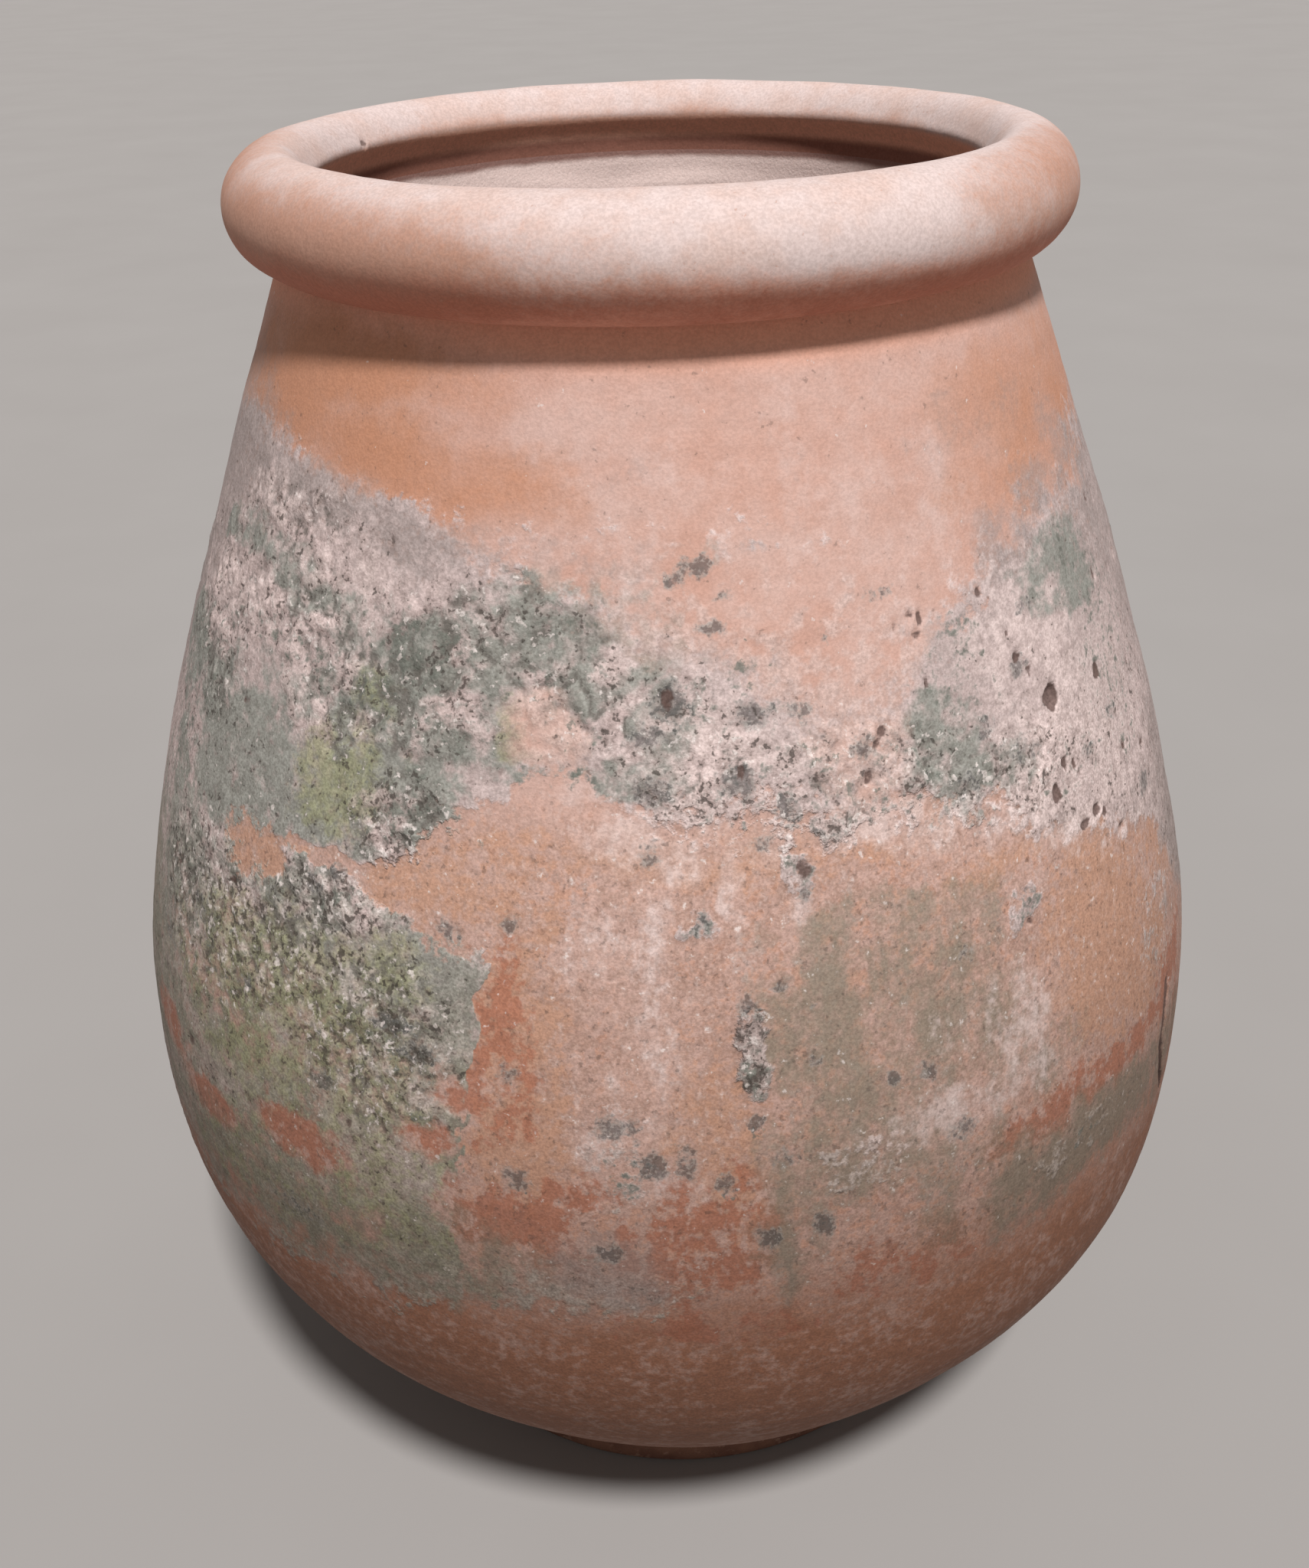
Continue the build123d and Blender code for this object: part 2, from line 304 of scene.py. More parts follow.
        (1, 396, 3, 12, 0.8), (6, 386, 1.6, 16, 0.8), (12, 380, 1.4, 14, 0.6), (-8, 418, 5, 4, 0.9),
        (20, 399, 9, 8, 0.9), (-4, 404, 5, 10, 0.8), (27, 392, 5, 10, 0.7), (36, 384, 6, 8, 0.8),
        (46, 370, 7, 6, 0.9), (57, 352, 8, 5, 0.6), (-3, 350, 6, 50, 0.3), (-3, 274, 7, 9, 0.4),
        (-6, 296, 3, 16, 0.3), (28, 286, 12, 12, 0.6), (33, 312, 8, 20, 0.5), (-2, 500, 12, 28, 0.25),
        (50, 400, 16, 40, 0.6), (42, 445, 10, 26, 0.5), (-39, 461, 6, 8, 0.9), (-52, 452, 7, 9, 0.7),
        (-28, 430, 7, 7, 0.7), (-3, 456, 9, 12, 0.6), (-36, 474, 7, 7, 0.4), (-56, 490, 8, 6, 0.3),
        (90, 505, 10, 26, 0.5), (-120, 520, 10, 20, 0.5), (150, 330, 10, 26, 0.5), (140, 450, 14, 20, 0.6),
    ),
    "haze": (
        (-74, 500, 24, 40, 1.0), (-84, 440, 16, 80, 0.9), (82, 440, 16, 90, 0.8), (-6, 238, 6, 22, 1.0),
        (-45, 495, 15, 13, 0.8), (-27, 491, 9, 9, 0.7), (46, 514, 16, 16, 0.3), (58, 503, 9, 13, 0.5),
        (42, 478, 7, 13, 0.9), (52, 492, 8, 12, 0.9), (62, 496, 8, 14, 0.9), (-86, 320, 14, 60, 0.6),
        (-3, 515, 3, 10, 0.35), (37, 525, 2, 4, 0.4), (15.5, 516, 2, 4, 0.4), (-10, 486, 12, 7, 0.4),
        (66, 470, 12, 30, 0.7), (74, 330, 9, 80, 0.8), (180, 480, 26, 24, 0.8), (130, 470, 20, 20, 0.7),
    ),
    "spots": (
        (-1.5, 396, 1.3, 6, 1.0), (2.9, 374, 1.0, 6, 1.0), (11.9, 407, 1.6, 7, 0.9), (12.7, 379, 0.8, 5, 0.9),
        (9.8, 348, 1.1, 2.8, 1.1), (6.8, 343, 1.1, 4.4, 1.1), (19.7, 307, 1.2, 4, 1.3),
        (22.9, 305, 1.6, 5.6, 1.0), (12.6, 337, 0.9, 4.6, 0.7), (12.6, 321, 1.0, 4.6, 0.8),
        (-14.6, 371, 1.3, 4.6, 0.9), (-14.5, 317, 1.4, 5.6, 1.0), (-5.5, 300, 1.8, 6.6, 1.0),
        (-3.5, 300, 0.9, 7, 1.0), (-1.9, 285, 1.7, 8, 1.2), (1.1, 286, 1.4, 9, 0.8), (4.2, 277, 1.4, 5.6, 1.1),
        (7, 300, 0.9, 4, 1.2), (9.7, 284, 1.6, 5.6, 0.8), (7.7, 252, 1.3, 7, 1.1), (12.8, 254, 1.2, 7, 1.1),
        (-13.8, 279, 1.6, 4.6, 0.9), (-6.1, 248, 2.6, 5.6, 0.9), (26.5, 278, 1.8, 5.6, 0.9),
        (28.8, 344, 1.1, 4.6, 0.7), (4.2, 487, 2.4, 4.6, 1.0), (1.4, 483, 1.6, 3.4, 0.9),
        (6.4, 478, 1.4, 3.4, 0.8), (5.3, 468, 1.8, 3.4, 1.2), (0.7, 445, 2.8, 8, 1.3),
        (8.8, 440, 2.8, 5.6, 1.1), (13.9, 439, 1.8, 4.6, 0.8), (-1.6, 435, 2.4, 5.6, 0.9),
        (7.2, 419, 2.4, 7, 1.1), (11.6, 409, 1.8, 4.6, 1.1), (-1.2, 417, 2.2, 7, 1.0),
        (40.9, 434, 1.8, 4.6, 0.9), (34.7, 418, 2.0, 5.6, 0.6), (39.2, 407, 2.8, 8, 0.8),
        (14.7, 399, 3.2, 2.8, 0.9), (9.2, 398, 2.2, 3.4, 0.9), (30.7, 402, 2.6, 7, 0.8),
        (19.7, 424, 1.8, 5.6, 1.0), (62, 359, 1.8, 5.6, 0.9), (50, 392, 1.8, 4.6, 0.7),
        (57, 398, 1.6, 5.6, 0.7), (-35.7, 368, 2.2, 4.6, 1.0), (-33.3, 375, 1.8, 4.6, 1.0),
        (-25.8, 328, 2.4, 4.6, 1.2), (-33.5, 295, 2.2, 4.6, 1.1), (-44, 316, 1.8, 4.6, 0.8),
        (-23, 319, 2.6, 5.6, 1.0), (-20.4, 366, 1.8, 4.6, 1.0), (-13.3, 275, 1.6, 4.6, 1.0),
        (-54, 332, 2.2, 7, 0.8), (-61.7, 304, 2.6, 7, 0.8), (-37.5, 229, 4, 7, 0.7), (24, 472, 2.4, 3, 0.7),
        (17, 462, 1.4, 4, 0.6), (44, 452, 2, 3, 0.7), (84, 380, 3, 7, 0.9), (103, 330, 2.4, 8, 1.0),
        (126, 430, 3, 6, 0.9), (148, 400, 2, 7, 0.9), (176, 300, 2.6, 7, 1.0), (-166, 430, 3, 6, 0.9),
        (-143, 300, 2, 8, 1.0), (-122, 380, 3, 6, 0.8), (-98, 290, 2.4, 7, 0.9), (138, 250, 2.4, 8, 0.8),
        (-175, 380, 2.2, 6, 0.8), (-112, 260, 2, 7, 0.8),
    ),
    "pits": (
        (45.3, 418, 4.2, 5.6, 2.2), (55.5, 415, 2.6, 3.6, 1.3), (43.2, 385, 2.4, 4.6, 1.4),
        (45.4, 393, 1.8, 3.6, 1.1), (47, 391, 1.4, 2.6, 1.0), (47, 367, 3, 2.2, 1.2),
        (49.5, 369, 2.4, 2.8, 1.3), (51, 366, 1.8, 2.4, 1.1), (41, 437, 2.3, 2.8, 1.0),
        (42.6, 431, 1.8, 2.4, 0.8), (25.4, 460, 1.4, 1.4, 0.7), (27.4, 463, 2.1, 1.6, 0.8),
        (28.6, 461, 1.4, 2.8, 0.9), (28, 456, 2.2, 1.8, 0.8), (37, 463, 1.8, 2.4, 0.8),
        (28.3, 440, 1.2, 3, 0.7), (61, 446, 1.8, 3, 0.9), (20.2, 414, 1.8, 3, 0.9), (22.3, 428, 2.2, 2.6, 0.9),
        (21.6, 424, 1.8, 1.8, 0.8), (12.8, 388, 2.6, 4.6, 0.8), (73, 440, 1.8, 3.4, 1.0),
        (54, 355, 2.6, 1.8, 0.8), (36.4, 357, 2.4, 1.8, 0.6), (36.6, 345, 2, 2.2, 0.7),
        (10, 350, 1.3, 2.6, 0.5), (0.6, 446, 2.4, 4.8, 0.8), (7.4, 422, 1.4, 3, 0.8), (-48, 353, 2.6, 2, 0.8),
        (66, 405, 2, 2.6, 1.0), (58, 381, 1.8, 2.6, 0.8), (64, 372, 2.4, 1.8, 0.9), (98, 425, 4, 5, 1.8),
        (118, 440, 3, 4, 1.4), (-121, 452, 3.4, 4.6, 1.6), (166, 462, 3.6, 5, 1.7), (-146, 458, 2.6, 3.4, 1.2),
        (140, 380, 3, 4.2, 1.4), (83, 398, 2.8, 4, 1.4), (-92, 470, 2.4, 3, 1.1),
    ),
    # how much wider and taller than listed the pits are dug, and the jar's radius about where they lie
    "pitWidth": 1.2,
    "pitHeight": 0.9,
    "pitRadius": 210,
    "crack": ((203, 62.6), (210, 61.6), (225, 60.0), (240, 59.3), (255, 60.2), (268, 61.0)),
    "crackRadius": 245,
    "crackWidth": 1.9,
    "crackDepth": 4.6,
    # (height, half width, half height) of the hole at its top
    "crackHole": (266.5, 2.6, 3.2),
    # between these heights the grid's columns bend to the crack, and straighten again
    "columnsBend": (199.5, 207),
    "columnsStraighten": (270, 283),
    # how far the columns crowd together, and within how many degrees they crowd and bend
    "crowding": 0.62,
    "crowdedAngle": 1.9,
    "bentAngle": 7,
    "crustThickness": 0.34,
    "lumpHeight": 1.1,
    "gapDepth": 0.25,
}


def handLean(angle, height):
    # the push of the maker's hands off a true circle, in millimetres of radius: a sideways lean and slow waves
    heights, pushes = np.array(wallShape["lean"], float).T
    sideways = np.interp(height, heights, pushes)
    turn = np.radians(angle)
    slow = np.sin(2 * turn + 0.011 * height + 0.6) + 0.6 * np.sin(3 * turn - 0.017 * height + 2.1)
    return sideways * np.sin(turn) + 0.5 * handWork["slowWave"] * slow


def onJar(angle, radius, height):
    # the point of the frame at that angle, radius and height, as three arrays
    turn = np.radians(angle)
    full = radius + handLean(angle, height)
    return full * np.sin(turn), -full * np.cos(turn), height + 0 * full


def crackGap(angle, height):
    # sideways distance from the crack's wandering line, in millimetres along the wall
    heights, angles = np.array(weather["crack"], float).T
    return angleGap(angle, np.interp(height, heights, angles)) * math.radians(1) * weather["crackRadius"]


def drawnToCrack(angle, height):
    # columns of the grid bend along the crack and crowd together at it, and lie straight a few degrees away
    heights, angles = np.array(weather["crack"], float).T
    reach = rampUp(height, *weather["columnsBend"]) * (1 - rampUp(height, *weather["columnsStraighten"]))
    middle = float(angles.mean())
    gap = angleGap(angle, middle)
    crowded = gap * (1 - weather["crowding"] * np.exp(-(gap / weather["crowdedAngle"]) ** 2))
    shift = (np.interp(height, heights, angles) - middle) * np.exp(-(gap / weather["bentAngle"]) ** 2)
    return angle + reach * (crowded - gap + shift)


class Skin:
    # one side of the jar's wall as a grid of points: rows up the section, columns round the jar
    def __init__(self, angle, radius, height, relief):
        # relief pushes each point along the section's own outward direction
        slopeR, slopeZ = np.gradient(radius), np.gradient(height)
        length = np.hypot(slopeR, slopeZ)
        outR, outZ = (slopeZ / length)[:, None], (-slopeR / length)[:, None]
        x, y, z = onJar(angle, radius[:, None] + relief * outR, height[:, None] + 0 * angle)
        self.place = np.stack([x, y, z + relief * outZ], -1)
        across = np.roll(self.place, -1, 1) - np.roll(self.place, 1, 1)
        upward = np.gradient(self.place, axis=0)
        normal = np.cross(across, upward)
        self.normal = normal / np.linalg.norm(normal, axis=-1, keepdims=True)
        self.marks = {}

    def ring(self, row):
        # one row as a loop of points with its normals and marks
        return self.place[row], self.normal[row], {name: field[row] for name, field in self.marks.items()}

    def rings(self):
        return [self.ring(row) for row in range(len(self.place))]


# The outside of the wall

columns = np.linspace(-180, 180, wallShape["aroundSteps"], endpoint=False)
insideColumns = columns[::2]
outerHeights, outerRadii = np.array(wallShape["outerStations"], float).T
creaseHeight, creaseRadius = wallShape["outerStations"][-1]
seamHeights = [outerHeights[0]] + [seam[0] for seam in wallShape["seams"]] + [creaseHeight]


def wallRows():
    # the rows of every lift, cut evenly between its seams, and the row where each seam lies
    radii, heights, breaks = [], [], [0]
    for low, high, step in zip(seamHeights[:-1], seamHeights[1:], wallShape["rowSteps"]):
        fine = np.linspace(low, high, 400)
        r, z = evenRows(splineThrough(outerHeights, outerRadii, fine), fine, step)
        z[0], z[-1] = low, high
        radii.append(r[:-1])
        heights.append(z[:-1])
        breaks.append(breaks[-1] + len(z) - 1)
    radii.append([creaseRadius])
    heights.append([creaseHeight])
    return np.concatenate(radii), np.concatenate(heights), breaks


rowRadius, rowHeight, rowBreaks = wallRows()
angleGrid = drawnToCrack(columns[None, :], rowHeight[:, None])
heightGrid = rowHeight[:, None] + 0 * angleGrid
bare = onJar(angleGrid, rowRadius[:, None], heightGrid)
print("outer wall:", heightGrid.shape, "points")


def weatherFields(angle, height, points):
    # every kind of weathering as a field that is above 0 where it shows, with ragged edges from the noise
    slow = layeredNoise(points, 58, 3, 11)
    sway = layeredNoise(points, 24, 3, 23)
    jag = layeredNoise(points, 11, 3, 37)
    chew = layeredNoise(points, 5.5, 2, 53)
    other = layeredNoise(points, 15, 3, 67)
    streak = layeredNoise([points[0], points[1], points[2] * 0.22], 9, 3, 71)
    wideAngle, wideHeight = angle + 2.6 * sway + 1.1 * jag, height + 9 * slow + 5 * jag
    nearAngle, nearHeight = angle + 1.5 * sway + 1.3 * jag, height + 3 * slow + 4 * jag
    highest, softTop = aroundLine(nearAngle, weather["crustTop"])
    lowest, softLow = aroundLine(nearAngle, weather["crustLow"])
    ragged = 0.6 * sway + 0.6 * jag + 0.5 * chew
    cover = np.minimum(np.minimum((highest - height) / softTop, (height - lowest) / softLow) + ragged, 1.1)
    thin = patchField(wideAngle, wideHeight, weather["thinCrust"])
    cover = cover - np.maximum(thin + 0.3 * sway, 0) * (1.15 - 1.5 * chew - 1.5 * jag)
    scabs = patchField(nearAngle, nearHeight, weather["scabs"])
    cover = np.minimum(cover, -1.6 * scabs + 0.25 + 0.85 * ragged)
    islands = patchField(nearAngle, nearHeight, weather["islands"])
    cover = np.maximum(cover, islands * 1.2 - 0.25 + 0.6 * jag + 0.4 * chew)
    fields = {"crust": cover, "thin": np.maximum(thin, -1)}
    # for each kind, where its patches are looked up, and the noises that fray them
    wide, near = (wideAngle, wideHeight), (nearAngle, nearHeight)
    close = (angle + 0.5 * jag, height + 1.6 * chew)
    frayed = {
        "lichen": (wide, 0.7 * sway + 0.6 * jag + 0.4 * chew),
        "darkSpecks": (near, 0.5 * other),
        "moss": (wide, 0.7 * other),
        "orange": (wide, 0.6 * other + 0.5 * streak),
        "rust": (wide, 0.6 * jag + 0.6 * streak),
        "olive": (wide, 0.6 * sway + 0.6 * streak),
        "tanStain": (wide, 0.4 * slow + 0.2 * sway),
        "limeFilm": (near, 0.5 * streak + 0.4 * other),
        "haze": (wide, 0.5 * other + 0.2 * jag),
        "spots": (close, 0),
        "rugged": (wide, 0.3 * sway),
    }
    for name, (place, fray) in frayed.items():
        fields[name] = patchField(*place, weather[name]) + fray
    return {name: np.clip(field, -2, 2).astype(np.float32) for name, field in fields.items()}


def pitDepth(angle, height, points, crust):
    # the depth of the listed pits, of small round ones strewn through the crust, and of the crack
    depth = np.zeros(np.broadcast(angle, height).shape, np.float32)
    ragged = 0.22 * layeredNoise(points, 5, 2, 91)
    perDegree = math.radians(1) * weather["pitRadius"]
    for centre, middle, halfWidth, halfHeight, deep in weather["pits"]:
        across = angleGap(angle, centre) * perDegree / (halfWidth * weather["pitWidth"])
        up = (height - middle) / (halfHeight * weather["pitHeight"])
        depth = np.maximum(depth, deep * (1 - rampUp(np.hypot(across, up) + ragged, 0.55, 1.15)))
    strewn = spotDistance(points, 17, 0.03, 0.2, 131)
    depth = np.maximum(depth, 0.6 * rampUp(crust, 0, 0.5) * (1 - rampUp(strewn + 2 * ragged, 0.6, 1.1)))
    groove = np.exp(-(crackGap(angle, height) / weather["crackWidth"]) ** 2)
    groove = groove * rampUp(height, 204, 216) * (1 - rampUp(height, 266, 271))
    holeMiddle, holeWidth, holeHeight = weather["crackHole"]
    holeGap = np.hypot(crackGap(angle, height) / holeWidth, (height - holeMiddle) / holeHeight)
    hole = 0.9 * (1 - rampUp(holeGap, 0.4, 1.1))
    return np.maximum(depth, weather["crackDepth"] * np.maximum(groove, hole))


def lumpField(points, fields):
    # lumps like a cauliflower's: the size of a noise without its sign, so that sharp creases part them
    billow = np.abs(slopeNoise(points, 10, 181)) + 0.55 * np.abs(slopeNoise(points, 5.2, 187))
    strength = rampUp(fields["rugged"], -0.4, 0.7) * rampUp(fields["crust"], -0.2, 0.5)
    return rampUp(billow, 0.05, 0.85) * strength, (1 - rampUp(billow, 0.06, 0.3)) * strength


def wallRelief(height, points, fields):
    # waves from the maker's hands, grain, the crust's thickness and its lumps, and the pits
    waves = handWork["swells"] * layeredNoise(points, 95, 2, 151)
    wipes = handWork["wipeMarks"] * layeredNoise([points[0] * 0.1, points[1] * 0.1, points[2]], 9, 2, 163)
    grit = slopeNoise(points, 3.6, 173)
    cover = rampUp(fields["crust"], -0.3, 0.5)
    firm = (1 - 0.7 * rampUp(fields["haze"], -0.5, 0.4)) * (1 - 0.92 * rampUp(fields["thin"], -0.7, 0.1))
    crust = weather["crustThickness"] * cover * firm * (1 + 0.8 * layeredNoise(points, 7, 2, 177))
    crust = crust + (0.05 + 0.12 * rampUp(fields["rugged"], -0.4, 0.7)) * cover * grit
    crust = crust + weather["lumpHeight"] * fields["lump"] - weather["gapDepth"] * fields["gap"]
    grain = handWork["grain"] * grit * (1 - cover)
    edge = rampUp(height, 12, 20) * (1 - rampUp(height, creaseHeight - 8, creaseHeight))
    return (waves + wipes + crust + grain - fields["pit"]) * edge


wallFields = weatherFields(angleGrid, heightGrid, bare)
wallFields["pit"] = pitDepth(angleGrid, heightGrid, bare, wallFields["crust"])
wallFields["lump"], wallFields["gap"] = lumpField(bare, wallFields)
outerWall = Skin(angleGrid, rowRadius, rowHeight, wallRelief(heightGrid, bare, wallFields))
outerWall.marks = wallFields
print("weathering laid on the wall")


# The inside of the wall, which has half the columns of the outside

innerHeights, innerRadii = np.array(wallShape["innerStations"], float).T


def fingerMarks(points):
    # rings that the fingers leave inside as each coil is wiped down: a wave in height that drifts round the jar
    drift = 2.2 * layeredNoise(points, 120, 2, 211)
    ring = np.sin(points[2] / handWork["fingerSpacing"] * 2 * math.pi + drift * 2)
    strength = 0.6 + 0.5 * layeredNoise(points, 60, 2, 223)
    lumps = handWork["insideLumps"] * layeredNoise(points, 26, 3, 227)
    return handWork["insideFingerMarks"] * ring * strength + lumps


def insideSkin(high, low):
    # the inner wall from a high seam down to a low one
    fine = np.linspace(high, low, 200)
    radius, height = evenRows(splineThrough(innerHeights, innerRadii, fine), fine, wallShape["insideRowStep"])
    angle = insideColumns[None, :] + 0 * radius[:, None]
    points = onJar(angle, radius[:, None], height[:, None])
    fade = rampUp(height, *handWork["marksGrow"]) * (1 - rampUp(height, *handWork["marksFade"]))
    skin = Skin(angle, radius, height, fade[:, None] * fingerMarks(points))
    bare = np.ones_like(angle, np.float32)
    skin.marks = {"inside": bare, "crust": -2 * bare, "rugged": -2 * bare}
    return skin


# Making closed meshes from loops of points

def plainRing(radius, height, count):
    # a bare loop inside the joint, at that radius and height
    angle = columns[:: len(columns) // count]
    place = np.stack(onJar(angle, radius, height + 0 * angle), -1)
    return place, np.tile([0.0, 0.0, 1.0], (count, 1)), {}


def poleRing(height, up, marks):
    # the single point that closes a disc at the axis
    return np.array([[0.0, 0.0, height]]), np.array([[0.0, 0.0, up]]), marks


def bandFaces(first, countA, second, countB):
    # the faces between two loops: four-sided, or three-sided where one has half the points or only one
    if countA == 1:
        j = np.arange(countB)
        return [np.stack([np.full(countB, first), second + (j + 1) % countB, second + j], 1)]
    if countB == 1:
        j = np.arange(countA)
        return [np.stack([first + j, first + (j + 1) % countA, np.full(countA, second)], 1)]
    if countA == countB:
        j = np.arange(countA)
        k = (j + 1) % countA
        return [np.stack([first + j, first + k, second + k, second + j], 1)]
    j = np.arange(min(countA, countB))
    k = (j + 1) % len(j)
    if countA > countB:
        a, b, c = first + 2 * j, first + 2 * j + 1, first + 2 * k
        return [np.stack([a, b, second + j], 1), np.stack([b, second + k, second + j], 1),
                np.stack([b, c, second + k], 1)]
    a, b, c = second + 2 * j, second + 2 * j + 1, second + 2 * k
    return [np.stack([first + j, first + k, b], 1), np.stack([first + j, b, a], 1),
            np.stack([first + k, c, b], 1)]


def closedPiece(name, loops, closes, material, node):
    # loops in order round the section, each joined to the next, and where it closes, the last to the first
    counts = [len(loop[0]) for loop in loops]
    starts = np.concatenate([[0], np.cumsum(counts)[:-1]])
    faces = []
    pairs = list(zip(range(len(loops)), list(range(1, len(loops))) + [0]))
    for a, b in pairs if closes else pairs[:-1]:
        faces += bandFaces(int(starts[a]), counts[a], int(starts[b]), counts[b])
    sizes = np.concatenate([np.full(len(f), f.shape[1]) for f in faces])
    corners = np.concatenate([f.ravel() for f in faces])
    mesh = bpy.data.meshes.new(name)
    mesh.vertices.add(sum(counts))
    mesh.loops.add(len(corners))
    mesh.polygons.add(len(sizes))
    place = np.concatenate([loop[0] for loop in loops]) * metresPerMillimetre
    mesh.vertices.foreach_set("co", place.astype(np.float32).ravel())
    mesh.loops.foreach_set("vertex_index", corners.astype(np.int32))
    mesh.polygons.foreach_set("loop_start", np.concatenate([[0], np.cumsum(sizes)[:-1]]).astype(np.int32))
    mesh.polygons.foreach_set("use_smooth", np.ones(len(sizes), bool))
    mesh.update(calc_edges=True)
    for mark in sorted({key for loop in loops for key in loop[2]}):
        values = np.concatenate([loop[2].get(mark, np.zeros(n)) for loop, n in zip(loops, counts)])
        mesh.attributes.new(mark, "FLOAT", "POINT").data.foreach_set("value", values.astype(np.float32))
    mesh.normals_split_custom_set_from_vertices(np.concatenate([loop[1] for loop in loops]))
    mesh.materials.append(material)
    piece = bpy.data.objects.new(name, mesh)
    bpy.context.scene.collection.objects.link(piece)
    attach(piece, "root")
    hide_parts(node)
    triangles = int((sizes - 2).sum())
    print("made", name, "with", triangles, "triangles")


# Materials

def colour(red, green, blue):
    # a colour as it is seen, from 0 to 255, turned into the renderer's own linear numbers
    shares = [c / 255 for c in (red, green, blue)]
    return tuple([c / 12.92 if c <= 0.04045 else ((c + 0.055) / 1.055) ** 2.4 for c in shares] + [1.0])


class Wire:
    # one output of a node: sums on it become Math nodes
    def __init__(self, bench, socket):
        self.bench = bench
        self.socket = socket

    def __add__(self, other):
        return self.bench.sum("ADD", self, other)

    def __sub__(self, other):
        return self.bench.sum("SUBTRACT", self, other)

    def __rsub__(self, other):
        return self.bench.sum("SUBTRACT", other, self)

    def __mul__(self, other):
        return self.bench.sum("MULTIPLY", self, other)


class Bench:
    # the node tree of a material or of the world, with one method that makes any node
    def __init__(self, owner):
        self.owner = owner
        owner.use_nodes = True
        self.tree = owner.node_tree
        self.tree.nodes.clear()
        self.coordinates = None

    def node(self, kind, settings, values, output=0):
        # settings come first, because some of them change which sockets the node has
        made = self.tree.nodes.new(kind)
        for key, value in settings.items():
            setattr(made, key, value)
        for key, value in values.items():
            if isinstance(value, Wire):
                self.tree.links.new(value.socket, made.inputs[key])
            else:
                made.inputs[key].default_value = value
        return Wire(self, made.outputs[output]) if made.outputs else None

    def places(self):
        # places on the piece in metres, from one node that is made when it is first wanted
        if self.coordinates is None:
            self.coordinates = self.node("ShaderNodeTexCoord", {}, {}, "Object")
        return self.coordinates

    def sum(self, operation, a, b):
        return self.node("ShaderNodeMath", {"operation": operation}, {0: a, 1: b})

    def field(self, name):
        return self.node("ShaderNodeAttribute", {"attribute_name": name}, {}, "Fac")

    def noise(self, size, detail=3.0, stretch=(1, 1, 1), shift=0.0):
        # cloudy noise from -0.5 to 0.5 with features about size millimetres wide; a shift gives another pattern
        where = self.node("ShaderNodeMapping", {}, {
            "Vector": self.places(), "Scale": stretch, "Location": (shift, 0.7 * shift, -0.4 * shift),
        })
        return self.node("ShaderNodeTexNoise", {}, {
            "Vector": where, "Scale": 1 / (size * metresPerMillimetre), "Detail": detail, "Roughness": 0.58,
        }, "Fac") - 0.5

    def rise(self, value, low, high):
        # 0 below low and 1 above high, smooth between
        return self.node("ShaderNodeMapRange", {"interpolation_type": "SMOOTHSTEP"},
                         {"Value": value, "From Min": low, "From Max": high})

    def blend(self, mask, under, over):
        # the over colour laid on the under one where the mask is 1
        return self.node("ShaderNodeMix", {"data_type": "RGBA"}, {0: mask, 6: under, 7: over}, 2)

    def lay(self, under, over, value, low, high, share=None):
        # the over colour laid where the value has risen from low to high, at a share of its full strength
        mask = self.rise(value, low, high)
        return self.blend(mask if share is None else mask * share, under, over)

    def stain(self, mask, skin, tint):
        # the skin's colour multiplied by the tint where the mask is 1
        settings = {"data_type": "RGBA", "blend_type": "MULTIPLY"}
        return self.node("ShaderNodeMix", settings, {0: mask, 6: skin, 7: tint}, 2)

    def dapple(self, mask, skin, value, low, high, tints):
        # the skin stained with the first tint where the value is low, and with the second where it is high
        return self.stain(mask, skin, self.lay(*tints, value, low, high))

    def finish(self, baseColour, roughness, height, depth):
        # the clay's own shader: matt, with the height as fine relief of that depth in millimetres
        relief = {"Height": height, "Distance": depth * metresPerMillimetre}
        bump = self.node("ShaderNodeBump", {}, relief, "Normal")
        shader = self.node("ShaderNodeBsdfPrincipled", {}, {
            "Base Color": baseColour, "Roughness": roughness, "Normal": bump, "Specular IOR Level": 0.3,
        }, "BSDF")
        self.node("ShaderNodeOutputMaterial", {}, {"Surface": shader})
        return self.owner


